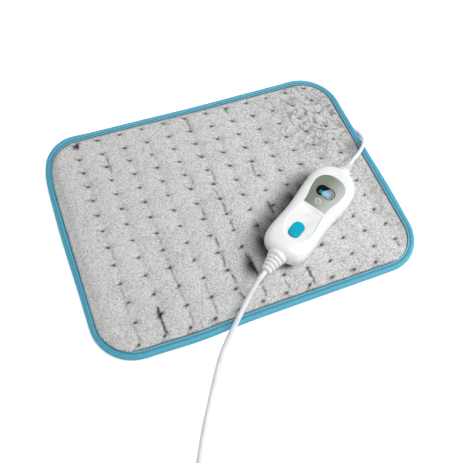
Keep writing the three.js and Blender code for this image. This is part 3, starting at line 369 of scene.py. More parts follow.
@dataclass(frozen=True)
class PrintedFoil(Finish):
    """Polycarbonate foil, printed on its back in grey-green under a satin surface; it runs from darker on the panel's
    left side to paler on its right."""

    name: str = "printed_foil"
    deep: str = "7A8376"
    pale: str = "BEC4BE"
    centre: Triple = HANDSET.middle
    grit: float = 0.0006

    def shade(self, tree: Tree) -> Inputs:
        """Build what goes into the shader.

        Args:
            tree: its nodes.

        Returns:
            Its inputs.
        """
        axes = self.axes_at(tree, self.centre).outputs
        across = put(tree, "MapRange", {"Value": axes["Y"], "From Min": 0.015, "From Max": -0.019})
        along = put(tree, "MapRange", {"Value": axes["X"], "From Min": 0.05, "From Max": 0.0})
        blend = {"Value": put(tree, "Mix", {0: 0.14, 2: across, 3: along}), "From Min": 0.2, "From Max": 0.95}
        eased = put(tree, "MapRange", blend, interpolation_type="SMOOTHSTEP")
        colour = put(tree, "Mix", {0: eased, 6: srgb(self.deep), 7: srgb(self.pale)}, data_type="RGBA")
        grit = put(tree, "TexNoise", {"Vector": put(tree, "TexCoord").outputs["Object"], "Scale": 1 / self.grit})
        bump = put(tree, "Bump", {"Strength": 0.3, "Distance": 0.00002, "Height": grit})
        return {"Base Color": colour, "Roughness": 0.38, "Specular IOR Level": 0.3, "Normal": bump}


@dataclass(frozen=True)
class LitWindow(Finish):
    """Smoked acrylic over a lit liquid-crystal display: black on one side, then a glow from teal to pale blue, with a
    painted reflection of the lens glowing over it: a grey haze towards its head end and a grey rim round it."""

    name: str = "smoked_acrylic"
    smoke: str = "04050A"
    edge: str = "1C8294"
    glow: str = "98CCE1"
    # colours of the painted reflection on the lens, which glows with the display
    reflection_haze: str = "9EA6C2"
    reflection_grey: str = "8C9092"
    centre: Triple = (0.10305, -0.04322, 0.0)  # middle of the window

    def shade(self, tree: Tree) -> Inputs:
        """Build what goes into the shader.

        Args:
            tree: its nodes.

        Returns:
            Its inputs.
        """
        axes = self.axes_at(tree, self.centre).outputs
        along, across = axes["X"], axes["Y"]
        slant = put(tree, "Math", {0: along, 1: 0.76, 2: across}, operation="MULTIPLY_ADD")
        left, upper, high, low, left_low, lit, reflected_haze, right, top, bottom = (
            put(tree, "MapRange", {"Value": value, "From Min": start, "From Max": end}, interpolation_type="SMOOTHSTEP")
            for value, start, end in (
                (across, 0.0062, 0.0076), (slant, 0.0022, 0.0034), (along, -0.0006, 0.0006), (along, -0.0041, -0.0048),
                (across, 0.0015, 0.0029), (across, 0.0038, 0.0016), (along, 0.0, 0.0016), (across, -0.0058, -0.0072),
                (along, 0.0034, 0.0044), (along, -0.004, -0.0048),
            )
        )
        upper_dark = put(tree, "Math", {0: upper, 1: high}, operation="MULTIPLY")
        lower_dark = put(tree, "Math", {0: left_low, 1: low}, operation="MULTIPLY")
        dark = put(tree, "Math", {0: upper_dark, 1: lower_dark}, operation="MAXIMUM")
        dark = put(tree, "Math", {0: dark, 1: left}, operation="MAXIMUM")
        reflected_rim = put(tree, "Math", {0: right, 1: top}, operation="MAXIMUM")
        reflected_rim = put(tree, "Math", {0: reflected_rim, 1: bottom}, operation="MAXIMUM")
        shown = put(tree, "Mix", {0: lit, 6: srgb(self.edge), 7: srgb(self.glow)}, data_type="RGBA")
        # Painted reflection: the grey haze and the grey rim glow as light that the lens would reflect.
        for share, code in ((reflected_haze, self.reflection_haze), (reflected_rim, self.reflection_grey), (dark, self.smoke)):
            shown = put(tree, "Mix", {0: share, 6: shown, 7: srgb(code)}, data_type="RGBA")
        lens = {"Base Color": srgb(self.smoke), "Roughness": 0.15, "Specular IOR Level": 0.08}
        return {**lens, "Emission Color": shown, "Emission Strength": 1.0}


@dataclass(frozen=True)
class PlatedMetal(Finish):
    """Plated metal, turned or stamped: bright, with fine lines from the tool and slight clouds in the plating."""

    name: str = "zinc_plate"
    light: str = "D0D3D6"
    dark: str = "A8ABB0"
    roughness: float = 0.3
    line: float = 0.0005
    cloud: float = 0.004

    def shade(self, tree: Tree) -> Inputs:
        """Build what goes into the shader.

        Args:
            tree: its nodes.

        Returns:
            Its inputs.
        """
        place = put(tree, "TexCoord").outputs["Object"]
        cloud = put(tree, "TexNoise", {"Vector": place, "Scale": 1 / self.cloud, "Detail": 3.0})
        cut = {"Vector": place, "Scale": WAVE_PERIOD / self.line, "Distortion": 2.0}
        lines = put(tree, "TexWave", cut, bands_direction="Z").outputs["Fac"]
        colour = put(tree, "Mix", {0: cloud, 6: srgb(self.dark), 7: srgb(self.light)}, data_type="RGBA")
        smoothest, dullest = self.roughness - 0.08, self.roughness + 0.08
        rough = put(tree, "MapRange", {"Value": lines, "To Min": smoothest, "To Max": dullest})
        bump = put(tree, "Bump", {"Strength": 0.2, "Distance": 0.00002, "Height": lines})
        return {"Base Color": colour, "Metallic": 1.0, "Roughness": rough, "Normal": bump}


@dataclass(frozen=True)
class FibreSheet(Finish):
    """Bonded fibres, as in wadding, felt and hook-and-loop strap: a tangle of lighter and darker strands, quite
    without gloss."""

    name: str = "polyester_wadding"
    light: str = "F4F3EE"
    dark: str = "D8D6CC"
    strand: float = 0.002
    relief: float = 0.0006

    def shade(self, tree: Tree) -> Inputs:
        """Build what goes into the shader.

        Args:
            tree: its nodes.

        Returns:
            Its inputs.
        """
        place = put(tree, "TexCoord").outputs["Object"]
        strands = {"Vector": place, "Scale": 1 / self.strand, "Detail": 4.0, "Roughness": 0.7, "Distortion": 1.5}
        tangle = put(tree, "TexNoise", strands)
        share = put(tree, "MapRange", {"Value": tangle, "From Min": 0.35, "From Max": 0.65})
        colour = put(tree, "Mix", {0: share, 6: srgb(self.dark), 7: srgb(self.light)}, data_type="RGBA")
        bump = put(tree, "Bump", {"Strength": 0.7, "Distance": self.relief, "Height": tangle})
        dull = {"Roughness": 0.95, "Specular IOR Level": 0.15, "Sheen Weight": 0.15}
        return {"Base Color": colour, "Normal": bump, **dull}


@dataclass(frozen=True)
class BoardLaminate(Finish):
    """Glass-epoxy board under green solder mask: darker bare runs between paler copper tracks."""

    name: str = "solder_mask_board"
    track: str = "3F8A5A"
    bare: str = "215336"
    tracks: float = 60.0  # runs of about 8 by 4 mm

    def shade(self, tree: Tree) -> Inputs:
        """Build what goes into the shader.

        Args:
            tree: its nodes.

        Returns:
            Its inputs.
        """
        place = put(tree, "TexCoord").outputs["Object"]
        masked = {"Color1": srgb(self.track), "Color2": srgb(self.bare), "Mortar": srgb(self.bare)}
        runs = put(tree, "TexBrick", {"Vector": place, "Scale": self.tracks, "Mortar Size": 0.12, **masked}).outputs
        bump = put(tree, "Bump", {"Strength": 0.3, "Distance": 0.00005, "Height": runs["Fac"]})
        return {"Base Color": runs["Color"], "Roughness": 0.4, "Normal": bump}


@dataclass(frozen=True)
class Finishes:
    """Every finish of the object, by the piece that wears it."""

    plush: Finish = PlushPile()
    backing: Finish = BrushedKnit()
    binding: Finish = SatinBinding()
    # The tuft thread is dark as part of the painted shade in the tufts' pits.
    tuft_thread: Finish = SpunThread("spun_thread", "444444", "202020")
    lip_thread: Finish = SpunThread("blue_thread", "B9E4F2", "6FB9D2")
    wadding: Finish = FibreSheet()
    felt: Finish = FibreSheet("felt_sheet", "EAE7DE", "CFCABD", 0.0012, 0.0002)
    strap: Finish = FibreSheet("hook_and_loop_strap", "3F4248", "1C1E22", 0.0009, 0.0003)
    housing: Finish = MouldedPlastic()
    boot: Finish = MouldedPlastic("soft_pvc_boot", "F5F6F6", "ECEDEE", 0.46, 0.4, 0.0009)
    jacket: Finish = MouldedPlastic("pvc_jacket", "EDEDF1", "E2E2E8", 0.4, 0.45, 0.0012, 0.00003, 0.012)
    button: Finish = MouldedPlastic("button_abs", "02B2CD", "00A8C4", 0.5, 0.12, 0.0008)
    symbol: Finish = MouldedPlastic("white_print", "F4F7F4", "E8EDE8", 0.5, 0.3)
    moulding: Finish = MouldedPlastic("black_nylon", "2A2C2F", "1E2022", 0.55, 0.4)
    film_box: Finish = MouldedPlastic("yellow_film_box", "CDB846", "BEA436", 0.4, 0.5)
    silicone: Finish = MouldedPlastic("silicone_rubber", "DCD3C4", "CFC4B2", 0.6, 0.35)
    live: Finish = MouldedPlastic("brown_core", "80502F", "6E4226", 0.45, 0.45)
    neutral: Finish = MouldedPlastic("blue_core", "376FBB", "2A5C9F", 0.45, 0.45)
    panel: Finish = PrintedFoil()
    window: Finish = LitWindow()
    display: Finish = MouldedPlastic("display_glass", "A7D2EC", "8FC2E2", 0.2, 0.5)
    zinc: Finish = PlatedMetal()
    nickel: Finish = PlatedMetal("nickel_plate", "D9D5CC", "B9B4A8", 0.22)
    can: Finish = PlatedMetal("aluminium_can", "C9CCD1", "A9ADB3", 0.35)
    board: Finish = BoardLaminate()


FINISHES = Finishes()


# Shapes in the plane


def bezier(start: Pair, first: Pair, second: Pair, end: Pair, steps: int) -> list[Pair]:
    """Points along a cubic curve, without its end.

    Args:
        start: first point.
        first: handle of the start.
        second: handle of the end.
        end: last point, which is left out.
        steps: number of points.

    Returns:
        The points in order.
    """
    points = []
    for k in range(steps):
        t = k / steps
        shares = ((1 - t) ** 3, 3 * t * (1 - t) ** 2, 3 * t * t * (1 - t), t**3)
        corners = (start, first, second, end)
        points.append(tuple(sum(s * c[i] for s, c in zip(shares, corners)) for i in (0, 1)))
    return points


def ease(share: float) -> float:
    """A share from 0 to 1 that starts and ends gently."""
    held = min(max(share, 0.0), 1.0)
    return held * held * (3 - 2 * held)


def rounded_rectangle(centre: Pair, half: Pair, radius: float, steps: int) -> list[Pair]:
    """Outline of a rectangle with round corners, anticlockwise.

    Args:
        centre: its middle.
        half: half its length along X and along Y.
        radius: radius of its corners.
        steps: points on each corner.

    Returns:
        The outline's points.
    """
    points = []
    for corner, (sx, sy) in enumerate(((1, 1), (-1, 1), (-1, -1), (1, -1))):
        for k in range(steps):
            turn = (corner + k / (steps - 1)) * math.pi / 2
            x = centre[0] + sx * (half[0] - radius) + radius * math.cos(turn)
            y = centre[1] + sy * (half[1] - radius) + radius * math.sin(turn)
            points.append((x, y))
    return points


def seen_from(outline: Sequence[Pair], centre: Pair, turns: Sequence[float]) -> list[Pair]:
    """Points where rays from a centre meet an outline.

    Args:
        outline: closed outline around the centre.
        centre: where the rays start.
        turns: directions of the rays.

    Returns:
        One point for each ray.
    """
    found = []
    for turn in turns:
        dx, dy = math.cos(turn), math.sin(turn)
        best = 0.0
        for (ax, ay), (bx, by) in zip(outline, [*outline[1:], outline[0]]):
            ex, ey = bx - ax, by - ay
            cross = dx * ey - dy * ex
            if abs(cross) < 1e-15:
                continue
            far = ((ax - centre[0]) * ey - (ay - centre[1]) * ex) / cross
            share = ((ax - centre[0]) * dy - (ay - centre[1]) * dx) / cross
            if far > 0 and -1e-9 <= share <= 1 + 1e-9:
                best = max(best, far)
        found.append((centre[0] + best * dx, centre[1] + best * dy))
    return found


def smooth_profile(knots: Sequence[Pair], steps: int) -> list[Pair]:
    """A smooth line through the knots of a profile.

    Args:
        knots: points of the profile.
        steps: points between two knots.

    Returns:
        The line's points, both ends included.
    """
    line = []
    for k in range(len(knots) - 1):
        before, after = knots[max(k - 1, 0)], knots[min(k + 2, len(knots) - 1)]
        a, b = knots[k], knots[k + 1]
        first = tuple(a[i] + (b[i] - before[i]) / 6 for i in (0, 1))
        second = tuple(b[i] - (after[i] - a[i]) / 6 for i in (0, 1))
        line += bezier(a, first, second, b, steps)
    return [*line, knots[-1]]


# Modelling


@dataclass(frozen=True)
class Ring:
    """One ring of a raised form: its height, and its size against the outline."""

    height: float
    along: float = 1.0
    across: float = 1.0


def take(*pieces: Piece) -> None:
    """Select pieces and nothing else, in object mode.

    Args:
        pieces: what is selected; the first one becomes active.
    """
    if bpy.context.object is not None and bpy.context.object.mode != "OBJECT":
        bpy.ops.object.mode_set(mode="OBJECT")
    bpy.ops.object.select_all(action="DESELECT")
    for piece in pieces:
        piece.select_set(True)
    bpy.context.view_layer.objects.active = pieces[0] if pieces else None


def edit(piece: Piece) -> None:
    """Take a piece into edit mode, with all of it selected.

    Args:
        piece: the piece.
    """
    take(piece)
    bpy.ops.object.mode_set(mode="EDIT")
    bpy.ops.mesh.select_all(action="SELECT")


def pick_rim(piece: Piece, height: float | None = None) -> None:
    """Select the open rims of a mesh in edit mode.

    Args:
        piece: piece that is in edit mode.
        height: height of the one rim that is meant, if the mesh has more.
    """
    bpy.ops.mesh.select_all(action="DESELECT")
    form = bmesh.from_edit_mesh(piece.data)
    for edge in form.edges:
        meant = height is None or all(abs(v.co.z - height) < 1e-7 for v in edge.verts)
        if meant and len(edge.link_faces) < 2:
            edge.select_set(True)
    form.select_flush_mode()
    bmesh.update_edit_mesh(piece.data)


def raise_form(
    name: str, outline: Sequence[Pair], rings: Sequence[Ring], pivot: Pair = (0.0, 0.0), closed: bool = True
) -> Piece:
    """Raise a form from an outline by extruding and resizing it, ring by ring.

    Args:
        name: name of the piece.
        outline: closed outline in the plane.
        rings: rings from the first to the last, at least two.
        pivot: point about which the rings are sized.
        closed: whether both ends are closed.

    Returns:
        The piece.
    """
    take()
    bpy.ops.mesh.primitive_circle_add(vertices=len(outline), radius=0.01)
    piece = bpy.context.object
    piece.name = name
    start = rings[0]
    for vertex, (x, y) in zip(piece.data.vertices, outline):
        u = pivot[0] + (x - pivot[0]) * start.along
        v = pivot[1] + (y - pivot[1]) * start.across
        vertex.co = (u, v, start.height)
    edit(piece)
    last = start
    for ring in rings[1:]:
        bpy.ops.mesh.extrude_region_move(TRANSFORM_OT_translate={"value": (0.0, 0.0, ring.height - last.height)})
        scale = (ring.along / last.along, ring.across / last.across, 1.0)
        if max(abs(s - 1) for s in scale) > 1e-9:
            bpy.ops.transform.resize(value=scale, center_override=(pivot[0], pivot[1], ring.height))
        last = ring
    for height in (rings[-1].height, start.height) if closed else ():
        pick_rim(piece, height)
        bpy.ops.mesh.edge_face_add()
    face_out(piece)
    return piece


def round_outline(radius: float, count: int) -> list[Pair]:
    """Points of a circle about the origin."""
    turns = [2 * math.pi * k / count for k in range(count)]
    return [(radius * math.cos(turn), radius * math.sin(turn)) for turn in turns]


def turn_form(name: str, profile: Sequence[Pair], count: int = 40) -> Piece:
    """Raise a round form along +Z.

    Args:
        name: name of the piece.
        profile: radius and height of each ring.
        count: points on a ring.

    Returns:
        The piece, closed at both ends.
    """
    base = profile[0][0]
    rings = [Ring(height, radius / base, radius / base) for radius, height in profile]
    return raise_form(name, round_outline(base, count), rings)


def apply_modifier(piece: Piece, kind: str, **settings: Any) -> None:
    """Add one modifier to a piece and apply it.

    Args:
        piece: piece to finish.
        kind: Blender's name of the modifier.
        settings: the modifier's settings.
    """
    take(piece)
    modifier = piece.modifiers.new(kind.lower(), kind)
    for name, value in settings.items():
        setattr(modifier, name, value)
    bpy.ops.object.modifier_apply(modifier=modifier.name)


def carve(piece: Piece, other: Piece) -> None:
    """Carve another closed form out of a piece, and remove it."""
    apply_modifier(piece, "BOOLEAN", object=other, operation="DIFFERENCE", solver="EXACT")
    bpy.data.objects.remove(other)


def face_out(piece: Piece) -> None:
    """Turn the faces of a piece outwards.

    Args:
        piece: a closed piece.
    """
    edit(piece)
    bpy.ops.mesh.normals_make_consistent(inside=False)
    bpy.ops.object.mode_set(mode="OBJECT")


def soften(piece: Piece, width: float, segments: int = 2, limit: float = 40.0) -> None:
    """Round the sharp edges of a piece.

    Args:
        piece: piece to round.
        width: width of the rounding.
        segments: faces across it.
        limit: edges sharper than this many degrees are rounded.
    """
    sharp = {"limit_method": "ANGLE", "angle_limit": math.radians(limit)}
    apply_modifier(piece, "BEVEL", width=width, segments=segments, **sharp)


def smooth(piece: Piece, angle: float) -> None:
    """Shade a piece smooth, except over edges sharper than the angle in degrees."""
    take(piece)
    bpy.ops.object.shade_smooth_by_angle(angle=math.radians(angle))


def settle(piece: Piece, place: Matrix, angle: float = 35.0) -> None:
    """Shade a piece smooth up to an angle in degrees, and move it to its place.

    Args:
        piece: piece to move.
        place: its place, which goes into its mesh.
        angle: edges sharper than this stay sharp.
    """
    smooth(piece, angle)
    piece.matrix_world = place
    bpy.ops.object.transform_apply(location=True, rotation=True, scale=True)


def mesh_piece(name: str, points: Sequence[Triple], faces: Sequence[Sequence[int]]) -> Piece:
    """Make a soft piece from its points and faces.

    Args:
        name: name of the piece.
        points: its points.
        faces: its faces, as numbers of points.

    Returns:
        The piece.
    """
    mesh = bpy.data.meshes.new(name)
    mesh.from_pydata([tuple(p) for p in points], [], [tuple(f) for f in faces])
    mesh.update()
    piece = bpy.data.objects.new(name, mesh)
    bpy.context.scene.collection.objects.link(piece)
    return piece


def joined_copies(first: Piece, name: str, places: Sequence[Matrix]) -> Piece:
    """Copy a small piece to many places and join the copies.

    Args:
        first: piece to copy, which is used up.
        name: name of the joined piece.
        places: where the copies go.

    Returns:
        The joined piece.
    """
    copies = []
    for place in places:
        copy = first.copy()
        copy.data = first.data.copy()
        copy.data.transform(place)
        bpy.context.scene.collection.objects.link(copy)
        copies.append(copy)
    bpy.data.objects.remove(first)
    take(*copies)
    bpy.ops.object.join()
    made = bpy.context.object
    made.name = name
    return made


def finish_piece(
    piece: Piece, finish: Finish, replaces: Sequence[str] = (), body: Body = Body.PAD
) -> Piece:
    """Dress a piece, set it on its body, and hide the solids that it stands for.

    Args:
        piece: the finished piece, with its place in its mesh.
        finish: what it is made of.
        replaces: solids that it stands for.
        body: body that it moves with.

    Returns:
        The same piece.
    """
    finish.dress(piece)
    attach(piece, body.value)
    if replaces:
        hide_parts(*replaces)
    LOG.info("%s rides on %s", piece.name, body.value)
    return piece


# Studio


@dataclass(frozen=True)
class Lamp:
    """A soft square lamp that is aimed at the object."""

    name: str
    place: Triple
    size: float
    power: float
    aim: Triple = (0.02, -0.03, 0.01)

    def build(self) -> None:
        """Hang the lamp and aim it."""
        data = bpy.data.lights.new(self.name, "AREA")
        data.shape = "SQUARE"
        data.size = self.size
        data.energy = self.power
        lamp = bpy.data.objects.new(self.name, data)
        bpy.context.scene.collection.objects.link(lamp)
        lamp.location = self.place
        lamp.rotation_mode = "QUATERNION"
        lamp.rotation_quaternion = (Vector(self.aim) - Vector(self.place)).to_track_quat("-Z", "Y")


@dataclass(frozen=True)
class Studio:
    """Camera at the photograph's place, pale floor, soft lamps and white surroundings."""

    eye: Triple = (-0.17692, -0.30985, 0.60697)
    right: Triple = (0.92860, -0.36261, 0.07883)
    up: Triple = (0.28979, 0.84131, 0.45631)
    back: Triple = (-0.23178, -0.40088, 0.88632)
    lens: float = 44.627
    floor_half: float = 6.0
    floor_height: float = -0.0003
    floor_glow: float = 0.55
    floor_fade: Pair = (0.42, 0.95)
    paper_tooth: float = 0.0025
    ambient: float = 0.44
    lamps: tuple[Lamp, ...] = (
        Lamp("key_lamp", (1.25, -0.47, 1.0), 0.5, 11.0),
        Lamp("high_lamp", (0.35, -0.25, 1.7), 0.7, 10.0),
    )

    def build(self) -> None:
        """Set up the camera, the floor, the lamps and the surroundings."""
        self.build_camera()
        self.build_floor()
        for lamp in self.lamps:
            lamp.build()
        self.build_world()
        bpy.context.scene.view_settings.view_transform = "Standard"
        LOG.info("studio is ready")

    def build_camera(self) -> None:
        """Put the camera where the photograph was taken."""
        data = bpy.data.cameras.new("camera")
        data.sensor_width = 36.0
        data.lens = self.lens
        data.clip_start, data.clip_end = 0.01, 50.0
        camera = bpy.data.objects.new("camera", data)
        bpy.context.scene.collection.objects.link(camera)
        axes = Matrix((self.right, self.up, self.back)).transposed().to_4x4()
        camera.matrix_world = Matrix.Translation(self.eye) @ axes
        bpy.context.scene.camera = camera

    def seen(self, tree: Tree) -> bpy.types.Node:
        """Tell what is seen, plainly or in gloss or glass, from what only lights.

        Args:
            tree: nodes of the floor or of the surroundings.

        Returns:
            The node that gives 1 where it is seen.
        """
        rays = put(tree, "LightPath").outputs
        plain = put(tree, "Math", {0: rays["Is Camera Ray"], 1: rays["Is Glossy Ray"]}, operation="MAXIMUM")
        return put(tree, "Math", {0: plain, 1: rays["Is Transmission Ray"]}, operation="MAXIMUM")

    def build_floor(self) -> None:
        """Lay the pale floor, which keeps the shadow and is otherwise white to the eye."""
        take()
        bpy.ops.mesh.primitive_plane_add(size=2 * self.floor_half, location=(0.0, 0.0, self.floor_height))
        floor = bpy.context.object
        floor.name = "floor"
        material = bpy.data.materials.new("white_paper_floor")
        material.use_nodes = True
        tree = material.node_tree
        tree.nodes.clear()
        place = put(tree, "TexCoord").outputs["Object"]
        tooth = put(tree, "TexNoise", {"Vector": place, "Scale": 1 / self.paper_tooth, "Detail": 2.0})
        colour = put(tree, "Mix", {0: tooth, 6: srgb("F4F4F4"), 7: srgb("F8F8F8")}, data_type="RGBA")
        paper = put(tree, "BsdfDiffuse", {"Color": colour})
        seen = self.seen(tree)
        glow = put(tree, "Math", {0: seen, 1: self.floor_glow}, operation="MULTIPLY")
        white = put(tree, "Emission", {"Strength": glow})
        both = put(tree, "AddShader", {0: paper, 1: white})
        away = put(tree, "VectorMath", {0: place, 1: (0.0, -0.1, 0.0)}, operation="DISTANCE")
        beyond = {"Value": away, "From Min": self.floor_fade[0], "From Max": self.floor_fade[1]}
        far = put(tree, "MapRange", beyond, interpolation_type="SMOOTHSTEP")
        share = put(tree, "Math", {0: far, 1: seen}, operation="MULTIPLY")
        surround = put(tree, "Emission", {"Strength": 1.0})
        put(tree, "OutputMaterial", {"Surface": put(tree, "MixShader", {0: share, 1: both, 2: surround})})
        floor.data.materials.append(material)

    def build_world(self) -> None:
        """Light all round at a plain level, white where it is seen."""
        world = bpy.data.worlds.new("white_surroundings")
        world.use_nodes = True
        tree = world.node_tree
        tree.nodes.clear()
        level = put(tree, "MapRange", {"Value": self.seen(tree), "To Min": self.ambient, "To Max": 1.0})
        sky = put(tree, "Background", {"Color": (1.0, 1.0, 1.0, 1.0), "Strength": level})
        put(tree, "OutputWorld", {"Surface": sky})
        bpy.context.scene.world = world


# Cords


@dataclass(frozen=True)
class Coil:
    """The stored length of the mains cord: in on the lower layer, up, and out on the upper one to the plug."""

    centre: Pair = (-0.1215, -0.3265)
    start: float = math.radians(150)
    turns: float = 6 + 1 / 3
    inner: float = 0.0236
    pitch: float = 0.0063
    height: float = 0.0044
    lead: float = 0.007
    fall: float = 0.034
    plug_height: float = 0.0068
    per_turn: int = 24

    def at(self, run: float) -> Vector:
        """The coil's point after a turn from its start.

        Args:
            run: the turn, in radians.

        Returns:
            The point.
        """
        half = math.pi * self.turns
        radius = self.inner + self.pitch * abs(half - run) / (2 * math.pi)
        climb = min(max((run - half) / math.pi + 0.5, 0.0), 1.0)
        turn = self.start + run
        x = self.centre[0] + radius * math.cos(turn)
        y = self.centre[1] + radius * math.sin(turn)
        return Vector((x, y, self.height + climb * self.pitch))

    def way_in(self) -> tuple[Vector, Vector]:
        """Where the cord comes to the coil, and its direction there."""
        ahead = (self.at(0.02) - self.at(0.0)).normalized()
        return self.at(0.0) - ahead * self.lead, ahead

    def way_out(self) -> tuple[Vector, Vector]:
        """Where the cord leaves the coil for the plug.

        Returns:
            Its end in the plug, and its direction there.
        """
        sweep = 2 * math.pi * self.turns
        out = self.at(sweep)
        ahead = (out - self.at(sweep - 0.02)).normalized()
        end = out + ahead * (self.fall + self.lead)
        return Vector((end.x, end.y, self.plug_height)), ahead

    def points(self) -> list[Vector]:
        """Lay the coil and the cord's fall to the plug.

        Returns:
            The points from the way in to the plug.
        """
        sweep = 2 * math.pi * self.turns
        steps = round(self.per_turn * self.turns)
        path = [self.way_in()[0]] + [self.at(sweep * k / steps) for k in range(steps + 1)]
        out = self.at(sweep)
        end, ahead = self.way_out()
        for share in (0.25, 0.5, 0.75, 1.0):
            point = out + ahead * (self.fall * share)
            height = out.z + (self.plug_height - out.z) * ease((share - 0.35) / 0.65)
            path.append(Vector((point.x, point.y, height)))
        return [*path, end]


@dataclass(frozen=True)
class Cords:
    """The lead between pad and controller, and the mains cord with its coil, tie and plug."""

    lead_thick: float = 0.005
    cord_thick: float = 0.0058
    coil: Coil = Coil()
    lead_exit: float = 0.0893
    cord_exit: float = -0.0957
    tucked_in: float = 0.003
    lead_route: tuple[Triple, ...] = (
        (0.1735, 0.0014, 0.0202), (0.1825, 0.008, 0.0156), (0.19, 0.014, 0.0122), (0.1966, 0.0206, 0.0103),
        (0.2006, 0.0282, 0.0092), (0.2021, 0.0355, 0.0066), (0.2025, 0.0418, 0.0046), (0.2008, 0.0472, 0.0039),
        (0.1965, 0.0535, 0.0038), (0.1911, 0.0599, 0.0038), (0.18577, 0.06629, 0.0038),
    )
    cord_route: tuple[Triple, ...] = (
        (-0.0176, -0.1194, 0.0214), (-0.0305, -0.1302, 0.0172), (-0.0437, -0.1423, 0.0146),
        (-0.0545, -0.1523, 0.0118), (-0.065, -0.1618, 0.0082), (-0.0766, -0.1742, 0.0049),
        (-0.0864, -0.1876, 0.003), (-0.0955, -0.201, 0.003), (-0.1048, -0.2151, 0.003),
        (-0.115, -0.2306, 0.003), (-0.1243, -0.2457, 0.003), (-0.136, -0.266, 0.003),
    )
    tie_turn: float = math.radians(330)
    tie_wide: float = 0.01
    tie_thick: float = 0.0009
    plug_long: float = 0.036
    plug_wide: float = 0.035
    plug_neck: float = 0.015
    plug_thick: float = 0.0136
    plug_gap: float = 0.0003
    plug_rounding: float = 0.0016
    boot_long: float = 0.015
    pins_apart: float = 0.0188
    pin_inside: float = 0.004

    def build(self) -> None:
        """Lay both cords and make what is on them."""
        self.build_lead()
        self.build_mains()

    def lead_points(self) -> list[Triple]:
        """Centreline of the lead, from the controller's boot into the pad."""
        inside, out = self.lead_exit - self.tucked_in, self.lead_exit + 0.006
        return [*map(HANDSET.on_axis, (inside, self.lead_exit, out)), *self.lead_route]

    def cord_points(self) -> list[Triple]:
        """Centreline of the mains cord.

        Returns:
            Points from the controller's boot to the coil.
        """
        inside, out = self.cord_exit + self.tucked_in, self.cord_exit - 0.007
        start, ahead = self.coil.way_in()
        before = start - ahead * 0.018
        return [*map(HANDSET.on_axis, (inside, self.cord_exit, out)), *self.cord_route, tuple(before)]

    def lay(self, name: str, points: Sequence[Sequence[float]], thick: float) -> tuple[Piece, float]:
        """Lay one cord along its centreline.

        Args:
            name: name of the piece.
            points: points that it passes through.
            thick: its diameter.

        Returns:
            The cord, and its length.
        """
        data = bpy.data.curves.new(name, "CURVE")
        data.dimensions = "3D"
        data.resolution_u = 6
        data.bevel_depth = thick / 2
        data.bevel_resolution = 5
        data.use_fill_caps = True
        spline = data.splines.new("BEZIER")
        spline.bezier_points.add(len(points) - 1)
        for knot, point in zip(spline.bezier_points, points):
            knot.co = point
            knot.handle_left_type = knot.handle_right_type = "AUTO"
        cord = bpy.data.objects.new(name, data)
        bpy.context.scene.collection.objects.link(cord)
        bpy.context.view_layer.update()
        return cord, spline.calc_length()

    def build_lead(self) -> None:
        """Lay the short lead from the controller over the piping and into the pad."""
        lead, length = self.lay("controller_lead", self.lead_points(), self.lead_thick)
        finish_piece(lead, FINISHES.jacket, ["pad_lead"])

    def build_mains(self) -> None:
        """Lay the mains cord over the pad's front and along the floor, coil what is left, and end it in its plug."""
        points = [*self.cord_points(), *self.coil.points()]
        cord, length = self.lay("supply_cord", points, self.cord_thick)
        finish_piece(cord, FINISHES.jacket, ["mains_cord", "mains_cord_coil"])
        leaves, end = HANDSET.on_axis(self.cord_exit), [self.build_tie(), *self.build_plug()]

    def build_tie(self) -> Piece:
        """Wrap the hook-and-loop strap round the turns of the coil.

        Returns:
            The strap.
        """
        coil, slack, gap, bend = self.coil, 0.0009, 0.0003, 0.0039
        inner = coil.inner - self.cord_thick / 2 - slack
        outer = coil.inner + coil.pitch * coil.turns / 2 + self.cord_thick / 2 - coil.pitch / 2 + slack
        low = coil.height - self.cord_thick / 2 - gap
        high = coil.height + coil.pitch + self.cord_thick / 2 + gap
        half = ((outer - inner) / 2 + self.tie_thick, (high - low) / 2 + self.tie_thick)
        outline = rounded_rectangle((0.0, 0.0), half, bend, 8)
        wide = self.tie_wide / 2
        rings = [Ring(-wide), Ring(-0.4 * wide), Ring(0.4 * wide), Ring(wide)]
        strap = raise_form("coil_strap", outline, rings, closed=False)
        apply_modifier(strap, "SOLIDIFY", thickness=self.tie_thick, offset=-1.0)
        soften(strap, 0.0003)
        place = Matrix.Translation((coil.centre[0], coil.centre[1], 0.0)) @ Matrix.Rotation(self.tie_turn, 4, "Z")
        place = place @ Matrix.Translation(((inner + outer) / 2, 0.0, (low + high) / 2))
        settle(strap, place @ Matrix.Rotation(math.pi / 2, 4, "X"))
        return finish_piece(strap, FINISHES.strap, ["coil_tie"])

    def plug_outline(self) -> list[Pair]:
        """Outline of the plug's body along +X.

        Returns:
            Its points, from the neck to the face and back.
        """
        half, neck, long = self.plug_wide / 2, self.plug_neck / 2, self.plug_long
        side = bezier((0.0, -neck), (0.3 * long, -neck), (0.4 * long, -half), (0.66 * long, -half), 16)
        side += bezier((0.66 * long, -half), (0.75 * long, -half), (0.85 * long, -half), (0.95 * long, -half), 5)
        side += bezier((0.95 * long, -half), (0.98 * long, -half), (long, -half + 0.0008), (long, -half + 0.0018), 4)
        side.append((long, -half + 0.0018))
        return side + [(x, -y) for x, y in reversed(side)]

    def build_plug(self) -> list[Piece]:
        """Make the flat two-pin plug at the cord's end.

        Returns:
            Its boot, body, pins and sleeves.
        """
        end, ahead = self.coil.way_out()
        place = Matrix.Translation(end + ahead * self.plug_gap)
        place = place @ Matrix.Rotation(math.atan2(ahead.y, ahead.x), 4, "Z")
        along = Matrix.Rotation(math.pi / 2, 4, "Y")

